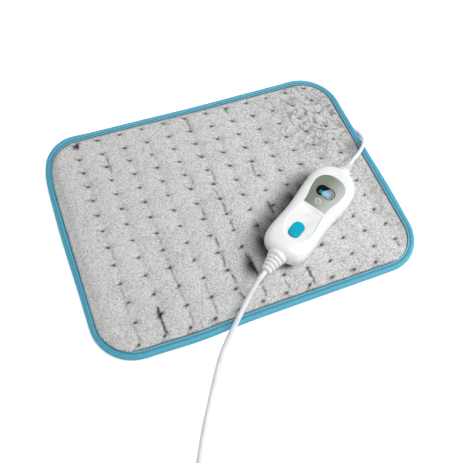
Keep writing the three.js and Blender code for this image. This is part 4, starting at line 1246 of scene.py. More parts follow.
        profile = [(0.0039, 0.0), (0.0041, 0.0003)]
        pitch, widening, depth = 0.003, 0.0003, 0.0006
        for rib in range(4):
            low, high = 0.0022 + pitch * rib, 0.0036 + pitch * rib
            radius = 0.0041 + widening * rib
            profile += [(radius, low - 0.0002), (radius - depth, low + 0.0001)]
            profile += [(radius - depth, high - 0.0001), (radius + widening, high + 0.0002)]
        profile += [(0.0053, self.boot_long)]
        boot = turn_form("plug_strain_relief", profile)
        settle(boot, place @ along, 50)
        finish_piece(boot, FINISHES.jacket, ["plug_boot"])

        rise, tall = self.plug_rounding, self.plug_thick / 2
        rings = []
        for k in range(7):
            turn = math.pi / 2 * k / 6
            lost = rise * (1 - math.sin(turn))
            height = -tall + rise * (1 - math.cos(turn))
            rings.append(Ring(height, 1 - 2 * lost / self.plug_long, 1 - 2 * lost / self.plug_wide))
        rings += [Ring(-r.height, r.along, r.across) for r in reversed(rings)]
        body = raise_form("plug_moulding", self.plug_outline(), rings, (self.plug_long / 2, 0.0))
        for side in (-1, 1):
            for rib in range(4):
                middle = (0.012 + 0.0028 * rib, side * 0.0188)
                grip_rings = [Ring(-0.0042, 0.9, 1.0), Ring(-0.0034), Ring(0.0034), Ring(0.0042, 0.9, 1.0)]
                grip = rounded_rectangle(middle, (0.0006, 0.004), 0.0005, 4)
                carve(body, raise_form("grip", grip, grip_rings, middle))
        neck = self.boot_long + self.plug_gap
        settle(body, place @ Matrix.Translation((neck, 0.0, 0.0)), 40)
        finish_piece(body, FINISHES.jacket, ["plug_body"])

        made = [boot, body]
        pin_profile = [(0.0012, 0.0), (0.0012, 0.0143), (0.002, 0.0143), (0.002, 0.0214), (0.00185, 0.0222)]
        pin_profile += [(0.0014, 0.0227), (0.0008, 0.023)]
        sleeve_profile = [(0.0015, 0.0), (0.002, 0.0001), (0.002, 0.0138), (0.00185, 0.014), (0.0015, 0.014)]
        face = neck + self.plug_long - self.pin_inside
        for number, side in enumerate((1, -1), 1):
            pin_place = place @ Matrix.Translation((face, side * self.pins_apart / 2, 0.0))
            pin = turn_form(f"plug_contact_{number}", pin_profile, 28)
            settle(pin, pin_place @ along)
            finish_piece(pin, FINISHES.nickel, [f"plug_pin_{number}"])
            sleeve = turn_form(f"plug_pin_sleeve_{number}", sleeve_profile, 28)
            settle(sleeve, pin_place @ along)
            finish_piece(sleeve, FINISHES.moulding, [f"plug_sleeve_{number}"])
            made += [pin, sleeve]
        return made


# Pad


@dataclass(frozen=True)
class Oblong:
    """A round-cornered outline about the origin: half its length and width, and the radius of its corners."""

    half: Pair
    corner: float

    def inside_by(self, point: Sequence[float]) -> float:
        """How far a point lies inside the outline.

        Args:
            point: the point.

        Returns:
            The distance to the outline, below 0 outside it.
        """
        dx = abs(point[0]) - (self.half[0] - self.corner)
        dy = abs(point[1]) - (self.half[1] - self.corner)
        return self.corner - math.hypot(max(dx, 0.0), max(dy, 0.0)) - min(max(dx, dy), 0.0)

    def nearest(self, point: Sequence[float]) -> Pair:
        """Find the nearest point on the outline.

        Args:
            point: a point inside or outside it.

        Returns:
            The point on the outline.
        """
        x, y = point
        inner = (self.half[0] - self.corner, self.half[1] - self.corner)
        dx, dy = abs(x) - inner[0], abs(y) - inner[1]
        sx, sy = math.copysign(1.0, x), math.copysign(1.0, y)
        if dx > 0 and dy > 0:
            scale = self.corner / math.hypot(dx, dy)
            return sx * (inner[0] + dx * scale), sy * (inner[1] + dy * scale)
        if dx > dy:
            return sx * self.half[0], y
        return x, sy * self.half[1]


@dataclass(frozen=True)
class Quilting:
    """Where the tufts of the pad are sewn, how the sewing has drawn their even grid, and where the plush has folds
    (both ends and depth) and hollows (place, half sizes and depth), which press it in and carry painted shade; folds
    and hollows are in millimetres."""

    columns: int = 12
    rows: int = 13
    first: Pair = (-0.1559, -0.1381)
    pitch: Pair = (0.0288, 0.0223)
    margin: float = 0.0018
    folds: tuple[tuple[float, ...], ...] = (
        (-124.4, -101, -126, -117, 0.8), (-126, -117, -123.5, -134, 1.0), (-155, -62, -156, -103, 0.3),
        (-156, -103, -152, -137, 0.25),
        (-93.3, -116, -94, -134, 0.35), (-65.6, -117, -65, -131, 0.4), (-36, -2, -36.7, -15, 0.4),
        (-35, -42, -35.6, -56, 0.5), (-34.5, -66, -37, -84, 0.5), (-34, -90, -32, -108, 0.6),
        (-33.5, -117, -30.5, -126, 0.7), (-9.5, -1, -12, -19, 0.4), (-9, -28, -11, -41, 0.45),
        (-9, -74, -5.6, -104, 1.0), (-5.5, -118, -6, -131, 0.65), (-96.7, -20, -96.7, -34, 0.3),
        (-97, -45, -94, -116, 0.3), (-66, -90, -65.6, -117, 0.3),
        (-152.2, -21, -152.2, -34, 0.3), (-121.5, 106, -122.8, 78, 0.4), (-8.3, 131, -9, 104, 0.4),
        (-6.5, 43, -7, 26, 0.4), (-12.2, 18, -12.2, 3, 0.4), (-34.4, 44, -34.4, 31, 0.3), (44.4, 130, 45, 120, 0.6),
        (45, 38, 43.5, 18, 0.45), (101, 107, 102, 96, 0.4), (52, -114, 52, -136, 0.8), (20, -120, 22, -131, 0.5),
        (43, -18, 43, -38, 0.7), (167.5, -118, 169, -127, 0.6), (140, 22, 155, 41, 0.35), (-157, 126, -147, 135, 0.7),
        (-153, 124, -152, 137, 0.8),
    )
    hollows: tuple[tuple[float, ...], ...] = (
        (-6.5, -91, 10, 13, 0.75), (-151, 129.5, 6, 4, 0.5), (-124, -112, 3.4, 6, 0.7), (151.5, 72, 3.4, 5, 0.35),
        (159, 113, 4.5, 3.5, 0.25), (159, 86, 6, 2.2, 0.25), (132, 111, 7, 2.5, 0.25), (44, -28, 7, 9, 0.3),
        (74, -23, 9, 6, 0.5), (19, -48, 6, 9, 0.3), (16, -66, 9, 11, 0.4), (33, -105, 11, 4, 0.5),
        (188, 21, 15, 8, 0.35),
    )

    def row_and_column(self, plain: Pair) -> Pair:
        """Column and row of a place on the even grid, in parts of the pitch."""
        return (plain[0] - self.first[0]) / self.pitch[0], (plain[1] - self.first[1]) / self.pitch[1]

    def plain(self, column: float, row: float) -> Pair:
        """Place on the even grid of a column and row."""
        return self.first[0] + column * self.pitch[0], self.first[1] + row * self.pitch[1]

    def drawn(self, plain: Pair, inside: float) -> Pair:
        """Where the sewing has drawn a place of the even grid.

        Args:
            plain: place on the even grid.
            inside: its distance from the edge of the cover.

        Returns:
            The place on the pad.
        """
        column, row = self.row_and_column(plain)
        # The left columns bow back in their middle, the front rows lean right, and the first row lies further in.
        left = 1 - ease((column - 3.5) / 4.5)
        front = 1 - ease((row - 1.5) / 2)
        back = left * (0.0025 + 0.0082 * math.sin(math.pi * min(max(row / 11, 0.0), 1.0)))
        along = 0.0015 + front * (0.0025 + 0.00035 * column)
        share = ease(inside / 0.016)
        first_row = 0.0037 * ease(inside / 0.0022) * (1 - ease(row / 1.2)) * (1 - ease((abs(plain[0]) - 0.152) / 0.016))
        return plain[0] + share * along, plain[1] + share * back + first_row

    def tufts(self, outline: Oblong) -> list[Pair]:
        """Find the tufts that lie far enough inside an outline.

        Args:
            outline: rim of the cover.

        Returns:
            The tufts' places.
        """
        places = []
        for column in range(self.columns):
            for row in range(self.rows):
                plain = self.plain(column, row)
                inside = outline.inside_by(plain)
                if inside > self.margin:
                    places.append(self.drawn(plain, inside))
        return places


@dataclass(frozen=True)
class Net:
    """A net of points that fills a round-cornered outline, with its rim on the outline."""

    plain: list[Pair]
    points: list[Pair]
    faces: list[tuple[int, ...]]
    rim: set[int]

    @staticmethod
    def over(outline: Oblong, quilting: Quilting, cells: tuple[int, int]) -> Net:
        """Make the net, drawn as the quilting draws it.

        Args:
            outline: what the net fills.
            quilting: the tufts that the net passes through.
            cells: number of its cells between two tufts along X and Y.

        Returns:
            The net.
        """
        half, first = outline.half, quilting.first
        step = (quilting.pitch[0] / cells[0], quilting.pitch[1] / cells[1])
        low = [math.floor((-half[i] - first[i]) / step[i]) - 1 for i in (0, 1)]
        high = [math.ceil((half[i] - first[i]) / step[i]) + 1 for i in (0, 1)]
        place = {
            (i, j): (first[0] + i * step[0], first[1] + j * step[1])
            for i in range(low[0], high[0] + 1)
            for j in range(low[1], high[1] + 1)
        }
        clear = 0.3 * min(step)
        inner = {key for key, p in place.items() if outline.inside_by(p) > clear}
        rim = {(i + di, j + dj) for i, j in inner for di in (-1, 0, 1) for dj in (-1, 0, 1)} - inner
        keys = sorted(inner | rim)
        number = {key: k for k, key in enumerate(keys)}
        plain = [place[key] if key in inner else outline.nearest(place[key]) for key in keys]
        points = [quilting.drawn(p, max(outline.inside_by(p), 0.0)) for p in plain]
        faces = []
        for i, j in keys:
            corners = [(i, j), (i + 1, j), (i + 1, j + 1), (i, j + 1)]
            if all(key in number for key in corners) and any(key in inner for key in corners):
                faces.append(tuple(number[key] for key in corners))
        return Net(plain, points, faces, {number[key] for key in rim})


@dataclass(frozen=True)
class Pad:
    """The quilted pad: plush cover, back, layers inside, piping and stitches."""

    length: float = 0.4
    width: float = 0.3
    corner: float = 0.05
    bead: float = 0.007
    bead_height: float = 0.0038
    bead_step: float = 0.0045
    lip_wide: float = 0.0022
    lip_top: float = 0.007
    cover_inset: float = 0.0095
    back_inset: float = 0.0062
    layer_inset: float = 0.016
    cover_low: float = 0.0066
    tuft_height: float = 0.0092
    puff: float = 0.0029
    drawn_in: float = 0.0095
    hem: float = 0.0002
    net_cells: tuple[int, int] = (13, 10)
    swell_frames: int = 20
    swell_most: float = 0.0035
    cover_most: float = 0.0142
    pressed: float = 0.0123
    footprint: Pair = (0.076, 0.033)
    quilting: Quilting = Quilting()
    seed: int = 7
    # Where the sewn edge wanders: middle of the stretch, its half length, the way out, and how far in that is felt.
    stretches: tuple[tuple[float, ...], ...] = (
        (-0.2, 0.015, 0.055, 0.0014, 0.009),
        (-0.2, 0.112, 0.02, -0.0024, 0.045),
        (-0.165, 0.15, 0.025, 0.0019, 0.009),
        (0.01, 0.15, 0.065, -0.0011, 0.045),
        (0.155, 0.15, 0.025, 0.0008, 0.009),
        (0.2, -0.045, 0.05, 0.0015, 0.009),
        (-0.092, -0.15, 0.038, 0.0023, 0.045),
    )

    def outline(self, inset: float) -> Oblong:
        """The pad's outline, set in."""
        return Oblong((self.length / 2 - inset, self.width / 2 - inset), self.corner - inset)

    def build(self) -> None:
        """Make the pad from the back up."""
        self.build_back()
        self.build_layers()
        cover = self.build_cover()
        self.build_tuft_stitches(cover)
        self.build_piping()
        self.build_lip_stitches()
        for name in ("back_cover", "plush_cover", "tuft_stitches", "satin_piping", "lip_stitches"):
            self.let_wander(bpy.data.objects[name])

    def let_wander(self, piece: Piece) -> None:
        """Let the pad's edge wander by a millimetre or two, and its bead spread, as sewn by hand.

        Args:
            piece: a piece of the pad.
        """
        beyond = 0.01
        around = self.outline(-beyond)
        for vertex in piece.data.vertices:
            flat = vertex.co.xy
            inside = around.inside_by(flat) - beyond
            edge = Vector(around.nearest(flat))
            way = 0.0
            for x, y, along, most, deep in self.stretches:
                near = (edge - Vector((x, y))).length / along
                way += most * math.exp(-near * near) * (1 - ease(inside / deep))
            vertex.co.xy = flat + (edge - flat).normalized() * way
        piece.data.update()

    def cover_start(self, plain: Pair) -> float:
        """Height of the cover before the filling swells it.

        Args:
            plain: place on the even grid of the quilting.

        Returns:
            The height.
        """
        inside = max(self.outline(self.cover_inset).inside_by(plain), 0.0)
        rise = min(inside / self.drawn_in, 1.0)
        crown = math.sin(math.pi / 2 * rise)
        column, row = self.quilting.row_and_column(plain)
        off = (column - round(column)) * self.quilting.pitch[0]
        near = math.hypot(off, (row - round(row)) * self.quilting.pitch[1])
        sewn = -0.5 < column < self.quilting.columns - 0.5 and -0.5 < row < self.quilting.rows - 0.5
        pull = math.exp(-((near / 0.0036) ** 2)) if sewn else 0.0
        valley = 0.05 * math.exp(-((off / 0.0045) ** 2)) if sewn else 0.0
        low = self.cover_low + 0.0004
        return low + (self.tuft_height + self.puff - low) * crown * (1 - valley) * (1 - 0.5 * pull)

    def build_cover(self) -> Piece:
        """Sew the plush cover down at its tufts and let the filling swell it between them.

        Returns:
            The cover.
        """
        net = Net.over(self.outline(self.cover_inset), self.quilting, self.net_cells)
        held = {k for k, p in enumerate(net.plain) if k not in net.rim and self.is_sewn(p)}
        points = []
        for k, ((x, y), plain) in enumerate(zip(net.points, net.plain)):
            z = self.cover_low + self.hem if k in net.rim else self.cover_start(plain)
            points.append((x, y, self.tuft_height if k in held else z))
        cover = mesh_piece("plush_cover", points, net.faces)
        self.swell(cover, [*held, *net.rim])
        self.press_down(cover)
        self.comb(cover)
        self.close_below(cover)
        finish_piece(cover, FINISHES.plush, ["top_cover"])
        return cover

    def is_sewn(self, plain: Pair) -> bool:
        """Whether a point of the cover's net lies under the stitch of a tuft.

        Args:
            plain: place on the even grid of the quilting.

        Returns:
            True for the net's three points at a tuft.
        """
        column, row = self.quilting.row_and_column(plain)
        tuft = (round(column), round(row))
        if not (0 <= tuft[0] < self.quilting.columns and 0 <= tuft[1] < self.quilting.rows):
            return False
        if self.outline(self.cover_inset).inside_by(self.quilting.plain(*tuft)) <= self.quilting.margin:
            return False
        return abs(column - tuft[0]) * self.net_cells[0] < 1.2 and abs(row - tuft[1]) * self.net_cells[1] < 0.5

    def swell(self, cover: Piece, held: Sequence[int]) -> None:
        """Run the cloth with the filling's pressure, and keep its result within a few millimetres.

        Args:
            cover: the cover's upper face.
            held: points that are sewn down.
        """
        start = [v.co.copy() for v in cover.data.vertices]
        group = cover.vertex_groups.new(name="sewn")
        group.add(list(held), 1.0, "REPLACE")
        modifier = cover.modifiers.new("filling", "CLOTH")
        cloth = modifier.settings
        cloth.quality = 6
        cloth.mass = 0.25
        cloth.tension_stiffness = cloth.compression_stiffness = 18.0
        cloth.shear_stiffness = 8.0
        cloth.bending_stiffness = 0.12
        cloth.air_damping = 2.0
        cloth.vertex_group_mass = "sewn"
        cloth.use_pressure = True
        cloth.uniform_pressure_force = 0.9
        cloth.shrink_min = -0.008
        cloth.effector_weights.gravity = 0.0
        modifier.collision_settings.use_collision = False
        scene = bpy.context.scene
        for timed in (modifier.point_cache, scene):
            timed.frame_start, timed.frame_end = 1, self.swell_frames
        for number in range(1, self.swell_frames + 1):
            scene.frame_set(number)
        take(cover)
        bpy.ops.object.modifier_apply(modifier=modifier.name)
        scene.frame_set(1)
        for vertex, before in zip(cover.data.vertices, start):
            moved = vertex.co - before
            if moved.length > self.swell_most:
                vertex.co = before + moved * (self.swell_most / moved.length)
        cover.vertex_groups.clear()

    def ceiling(self, x: float, y: float) -> float:
        """How high the cover may reach at a place, under the controller and the cords that lie on it.

        Args:
            x: place along the pad.
            y: place across it.

        Returns:
            The height.
        """
        most = self.cover_most
        along, across, _ = HANDSET.frame().inverted() @ Vector((x, y, 0.0))
        reach = max(abs(along) / self.footprint[0], abs(across) / self.footprint[1])
        if reach < 1:
            most = min(most, self.pressed + max(reach - 0.9, 0.0) * 0.012)
        cords = Cords()
        for route, thick in ((cords.lead_route[:5], cords.lead_thick), (cords.cord_route[:5], cords.cord_thick)):
            for (ax, ay, az), (bx, by, bz) in zip(route, route[1:]):
                long = (bx - ax) ** 2 + (by - ay) ** 2
                share = min(max(((x - ax) * (bx - ax) + (y - ay) * (by - ay)) / long, 0.0), 1.0)
                away = math.hypot(x - ax - share * (bx - ax), y - ay - share * (by - ay))
                if away < thick / 2 + 0.004:
                    under = az + share * (bz - az) - thick / 2 - 0.0004
                    most = min(most, under + max(away - thick / 3, 0.0) * 0.6)
        return most

    def press_down(self, cover: Piece) -> None:
        """Keep the cover under the controller and the cords, and above the layers below it."""
        for vertex in cover.data.vertices:
            vertex.co.z = min(max(vertex.co.z, self.cover_low + self.hem), self.ceiling(vertex.co.x, vertex.co.y))

    def fold_points(self) -> tuple[KDTree, list[float]]:
        """Points along the folds of the plush.

        Returns:
            A search tree of the points, and the depth of the fold at each.
        """
        places, depths = [], []
        for ax, ay, bx, by, depth in self.quilting.folds:
            steps = round(math.hypot(bx - ax, by - ay) / 0.7)
            for k in range(steps + 1):
                x, y = ax + (bx - ax) * k / steps, ay + (by - ay) * k / steps
                wander = 1.7 * noise.noise(Vector((x / 20, y / 6, 0.0))) + 0.7 * noise.noise(Vector((x, y / 2.5, 0.0)))
                fade = 0.8 + 0.7 * noise.noise(Vector((x / 20, y / 5, 4.0)))
                places.append(Vector((x + wander, y, 0.0)) / 1000)
                depths.append(depth * min(max(fade, 0.3), 1.0) * ease(0.35 + 3 * min(k, steps - k) / steps))
        tree = KDTree(len(places))
        for number, place in enumerate(places):
            tree.insert(place, number)
        tree.balance()
        return tree, depths

    def comb(self, cover: Piece) -> None:
        """Refine the cover, rough up its pile, let it swell over its rim, and paint shade where it is pulled in, folded
        or pressed.

        Args:
            cover: the cover's upper face.
        """
        apply_modifier(cover, "SUBSURF", levels=1, render_levels=1)
        mesh = cover.data
        rim = self.outline(self.cover_inset)
        tufts = self.quilting.tufts(rim)
        sewn = KDTree(len(tufts))
        for number, (x, y) in enumerate(tufts):
            sewn.insert(Vector((x, y, 0.0)), number)
        sewn.balance()
        folds, depths = self.fold_points()
        shade_marks = []
        for vertex in mesh.vertices:
            x, y, z = vertex.co
            flat, mx, my = Vector((x, y, 0.0)), 1000 * x, 1000 * y
            inside = max(rim.inside_by((x, y)), 0.0)
            rough = min(inside / 0.004, 1.0)
            # The right side, most of all its back corner, is rumpled and wrinkled, with painted shade in its wrinkles
            # and along its rim, and darker in patches.
            worn = max(ease((x - 0.06) / 0.09) * ease((y + 0.02) / 0.08), 0.6 * ease((x - 0.15) / 0.03))
            coarse = noise.noise(Vector((x, y, 0.3)) / 0.0085)
            fine = noise.noise(Vector((x, y, 1.7)) / 0.0031)
            line = noise.noise(Vector((x, y, 2.2)) / 0.011)
            wrinkle = worn * math.exp(-((line / 0.08) ** 2)) * ease(0.5 + 2 * coarse)
            tuft, _, near = sewn.find(flat)
            _, fold, away = folds.find(flat)
            crease = depths[fold] * math.exp(-((away / 0.0013) ** 2))
            # Hollows press the plush in and carry painted shade, and so does the painted shadow of the controller
            # beside its left side.
            hollow = max(
                depth * math.exp(-(((mx - hx) / (wide if mx < hx else 0.2 * wide)) ** 2) - ((my - hy) / deep) ** 2)
                for hx, hy, wide, deep, depth in self.quilting.hollows
            )
            hollow = 1 - (1 - hollow) * (1 - self.controller_shadow_and_press(x, y))
            bumps = (0.00013 + 0.0004 * worn) * coarse + 0.0001 * fine
            vertex.co.z += rough * (bumps - 0.001 * crease - 0.0016 * hollow - 0.0004 * wrinkle)
            if 1e-6 < inside < 0.008:
                # Outside its last stitches the plush swells over the piping at the left and front, and draws back
                # from it at the right and back.
                edge = rim.nearest((x, y))
                out = Vector((edge[0] - x, edge[1] - y, 0.0)).normalized()
                most = (0.0033 - 0.002 * ease((y - 0.06) / 0.06) if out.x < 0 else -0.0017) * out.x**2
                most += (-0.0014 if out.y > 0 else 0.0022 + 0.001 * ease((-0.02 - x) / 0.03)) * out.y**2
                bulge = (inside / 0.0012) * math.exp(1 - inside / 0.0012) * ease((near - 0.003) / 0.008)
                vertex.co += out * (most * bulge * (0.95 + 0.15 * noise.noise(Vector((x, y, 9.0)) / 0.014)))
            # Painted shade: dark eyes at the tufts, dark lines in folds and wrinkles, a painted shadow along the rim,
            # and the hollows' shade.
            tuft_darkness = self.tuft_shade(flat - tuft, tuft) if near < 0.009 else 0.0
            shadow = (0.42 + 0.3 * worn) * math.exp(-((inside / 0.0008) ** 2))
            mottle = 0.2 * worn * ease((-coarse - 0.05) / 0.45)
            light = (1 - max(tuft_darkness, 0.9 * crease, shadow, mottle, 0.36 * wrinkle)) * (1 - hollow)
            # Painted shade along the right rim, where it faces the key lamp.
            light *= 1 - 0.07 * ease((x - 0.165) / 0.02)
            shade_marks.append(1 - light * light)
        mesh.attributes.new("painted_shade", "FLOAT", "POINT").data.foreach_set("value", shade_marks)
        mesh.update()

    def controller_shadow_and_press(self, x: float, y: float) -> float:
        """How far the plush is pressed in along the controller's left side, and how much painted shadow of the
        controller lies there.

        Args:
            x: place along the pad.
            y: place across it.

        Returns:
            A share from 0 to 1.
        """
        along, across, _ = HANDSET.frame().inverted() @ Vector((x, y, 0.0))
        away = max(math.hypot(max(abs(along) - 0.042, 0.0), across) - 0.0285, 0.0)
        side = ease((across + 0.004) / 0.02) * ease((0.075 - along) / 0.04)
        streaks = 0.9 + 0.35 * noise.noise(Vector((along / 0.012, across / 0.03, 6.0)))
        return 0.62 * side * streaks * math.exp(-((away / 0.017) ** 2))

    def tuft_shade(self, off: Vector, tuft: Vector) -> float:
        """How much shade is painted on the pile round a tuft: a dark eye with a tail to one side.

        Args:
            off: distance from the tuft.
            tuft: place of the tuft.

        Returns:
            A share from 0 to 1.
        """
        turn = math.radians(162 + 32 * ease((0.02 - tuft.y) / 0.1)) + 0.7 * noise.noise(tuft * 70)
        size = 1 + 0.35 * noise.noise(tuft * 53 + Vector((0.0, 0.0, 5.0)))
        run = (off.x * math.cos(turn) + off.y * math.sin(turn)) / size
        side = (off.y * math.cos(turn) - off.x * math.sin(turn)) / size
        eye = math.exp(-((run / 0.0021) ** 2) - (side / 0.0013) ** 2)
        tail = math.exp(-((side / 0.0012) ** 2)) * max(0.0, 1 - run / 0.0078) if run > 0 else 0.0
        halo = 0.08 * math.exp(-((run / 0.0042) ** 2) - (side / 0.003) ** 2)
        return max(0.95 * eye, 0.6 * tail, halo)

    def close_below(self, cover: Piece) -> None:
        """Close the cover's underside by extruding its rim down and filling it.

        Args:
            cover: the cover's upper face.
        """
        edit(cover)
        pick_rim(cover)
        bpy.ops.mesh.extrude_region_move(TRANSFORM_OT_translate={"value": (0.0, 0.0, -self.hem)})
        bpy.ops.mesh.edge_face_add()
        face_out(cover)
        smooth(cover, 80)

    def build_tuft_stitches(self, cover: Piece) -> None:
        """Lay a short bar of thread in every tuft.

        Args:
            cover: the cover that the threads lie on.
        """
        tree = BVHTree.FromObject(cover, bpy.context.evaluated_depsgraph_get())
        chance = random.Random(self.seed)
        places = []
        for x, y in self.quilting.tufts(self.outline(self.cover_inset)):
            hit = tree.ray_cast(Vector((x, y, 0.05)), DOWN)[0]
            turn = Matrix.Rotation(chance.uniform(-0.6, 0.0), 4, "Z") @ Matrix.Rotation(-math.pi / 2, 4, "Y")
            places.append(Matrix.Translation(hit + Vector((0.0, 0.0, 0.0002))) @ turn)
        stitches = joined_copies(self.thread(0.0021, 0.0005), "tuft_stitches", places)
        finish_piece(stitches, FINISHES.tuft_thread)

    def thread(self, half_long: float, radius: float) -> Piece:
        """Make one stitch of thread along Z, arched away from the cloth.

        Args:
            half_long: half its length.
            radius: radius at its middle.

        Returns:
            The stitch.
        """
        half = [(0.42 * radius, -half_long), (0.86 * radius, -0.7 * half_long), (radius, -0.2 * half_long)]
        thread = turn_form("thread", half + [(r, -z) for r, z in reversed(half)], 6)
        for vertex in thread.data.vertices:
            vertex.co.x -= 0.13 / half_long * vertex.co.z**2
        smooth(thread, 60)
        return thread

    def build_back(self) -> None:
        """Lay the flat back, drawn up a little at each tuft, with painted shade in each dimple."""
        outline = self.outline(self.back_inset)
        tufts = self.quilting.tufts(self.outline(self.cover_inset))
        net = Net.over(outline, self.quilting, (8, 6))
        points, shade_marks = [], []
        for x, y in net.points:
            near = min(math.hypot(x - tx, y - ty) for tx, ty in tufts)
            pull = math.exp(-((near / 0.0042) ** 2))
            ripple = 0.00006 * (1 + noise.noise(Vector((x, y, 0.0)) / 0.012))
            points.append((x, y, 0.00062 * pull + ripple * (1 - pull)))
            # Painted shade in the dimple round each tuft.
            shade_marks.append(math.exp(-((near / 0.0016) ** 2)))
        back = mesh_piece("back_cover", points, [tuple(reversed(face)) for face in net.faces])
        back.data.attributes.new("painted_shade", "FLOAT", "POINT").data.foreach_set("value", shade_marks)
        apply_modifier(back, "SOLIDIFY", thickness=0.0008, offset=-1.0)
        smooth(back, 60)
        finish_piece(back, FINISHES.backing, ["bottom_cover"])

    def build_layers(self) -> None:
        """Lay the carrier sheet of the heating wire and the wadding inside the pad."""
        outline = self.outline(self.layer_inset)
        net = Net.over(outline, self.quilting, (3, 2))
        for name, low, thick, rough, finish, slot, node in (
            ("carrier_sheet", 0.00135, 0.0005, 0.00003, FINISHES.felt, "felt", "wire_carrier"),
            ("wadding_layer", 0.0044, 0.0018, 0.0001, FINISHES.wadding, "wadding", "wadding"),
        ):
            points = [(x, y, low + rough * (1 + noise.noise(Vector((x, y, low)) / 0.02))) for x, y in net.points]
            layer = mesh_piece(name, points, net.faces)
            apply_modifier(layer, "SOLIDIFY", thickness=thick, offset=1.0)
            smooth(layer, 60)
            finish_piece(layer, finish, [node])

    def edge_run(self, inset: float, spacing: float) -> list[tuple[Vector, Vector, float]]:
        """Places along a line round the pad.

        Args:
            inset: distance of the line from the pad's outer edge.
            spacing: wanted distance of the places.

        Returns:
            For each place, the point at height 0, the direction outwards, and the distance run.
        """
        outline = self.outline(inset)
        corner = outline.corner
        middle = (outline.half[0] - corner, outline.half[1] - corner)
        arc = corner * math.pi / 2
        total = 4 * sum(middle) + 4 * arc
        count = round(total / spacing)
        places = []
        for k in range(count):
            run = left = total * k / count
            for side, (sx, sy) in enumerate(((1, -1), (1, 1), (-1, 1), (-1, -1))):
                bend = min(left, arc)
                ahead = min(left - bend, 2 * middle[(side + 1) % 2])
                left -= bend + ahead
                if left < 1e-9:
                    break
            turn = (side - 1) * math.pi / 2 + bend / corner
            out = Vector((math.cos(turn), math.sin(turn), 0.0))
            base = Vector((sx * middle[0], sy * middle[1], 0.0))
            places.append((base + out * corner + Vector((-out.y, out.x, 0.0)) * ahead, out, run))
        return places

    def build_piping(self) -> None:
        """Run the satin piping round the pad: a round bead, the groove where it is sewn, and the sewn lip, with painted
        shade in the groove, at the lip's edge and along the bead's top on the left.
        """
        radius = self.bead / 2
        edge, low = -radius - self.lip_wide, self.lip_top - 0.001
        # The third number of each profile point is how much shade is painted there, at the lip's inner edge and in the
        # groove beside the bead.
        profile = [(edge, low, 1.0), (edge - 0.0001, low + 0.0005, 1.0), (edge, self.lip_top - 0.0001, 0.9)]
        profile += [(edge + 0.0005, self.lip_top + 0.0001, 0.1), (edge + 0.0012, self.lip_top, 0.0)]
        profile += [(-radius - 0.0003, self.lip_top - 0.0002, 0.3), (-radius + 0.0004, self.lip_top - 0.0005, 0.8)]
        for k in range(25):
            turn = math.radians(130 - 12.5 * k)
            seam_shade = 0.5 if k == 0 else 0.0
            profile.append((radius * math.cos(turn), self.bead_height + radius * math.sin(turn), seam_shade))
        steps = [math.hypot(b[0] - a[0], b[1] - a[1]) for a, b in zip(profile, profile[1:])]
        girth = [sum(steps[:k]) for k in range(len(profile))] + [sum(steps) + 0.001]
        places = self.edge_run(radius, self.bead_step)
        runs = [run for _, _, run in places] + [places[-1][2] + self.bead_step]
        points, seam_shades, faces, spread = [], [], [], []
        for place, direction, run in places:
            swell = 0.00009 * noise.noise(Vector((run / 0.011, 0.0, 0.0)))
            for k, (out, z, seam_shade) in enumerate(profile):
                pucker = 0.00012 * noise.noise(Vector((run / 0.004, k * 0.4, 5.0))) if k < 8 else 0.0
                at = place + direction * (out * (1 + swell / radius) + pucker)
                points.append((at.x, at.y, max(z + swell + pucker, 0.0003)))
                # Painted shade along the top of the bead, on the pad's left side only.
                left_bead_shade = 0.8 * max(-direction.x, 0.0) * math.exp(-(((out + 0.0002) / 0.0005) ** 2))
                seam_shades.append(max(seam_shade, left_bead_shade if z > self.bead_height else 0.0))
        size = len(profile)
        for i, (near, far) in enumerate(zip(runs, runs[1:])):
            ahead = (i + 1) % len(places)
            for k in range(size):
                after = (k + 1) % size
                faces.append((i * size + k, ahead * size + k, ahead * size + after, i * size + after))
                spread += [near, girth[k], far, girth[k], far, girth[k + 1], near, girth[k + 1]]
        piping = mesh_piece("satin_piping", points, faces)
        piping.data.uv_layers.new(name="run").data.foreach_set("uv", spread)
        piping.data.attributes.new("seam_shade", "FLOAT", "POINT").data.foreach_set("value", seam_shades)
        face_out(piping)
        apply_modifier(piping, "SUBSURF", levels=1, render_levels=1)
        smooth(piping, 80)
        finish_piece(piping, FINISHES.binding, ["edge_piping"])

    def build_lip_stitches(self) -> None:
        """Sew the lip down with a row of stitches round the pad."""
        places = []
        for place, out, _ in self.edge_run(self.bead + 0.0011, 0.0034):
            turn = Matrix.Rotation(math.atan2(out.x, -out.y), 4, "Z") @ Matrix.Rotation(-math.pi / 2, 4, "Y")
            places.append(Matrix.Translation((place.x, place.y, self.lip_top + 0.0002)) @ turn)
        stitches = joined_copies(self.thread(0.0013, 0.00034), "lip_stitches", places)
        finish_piece(stitches, FINISHES.lip_thread)


# Controller


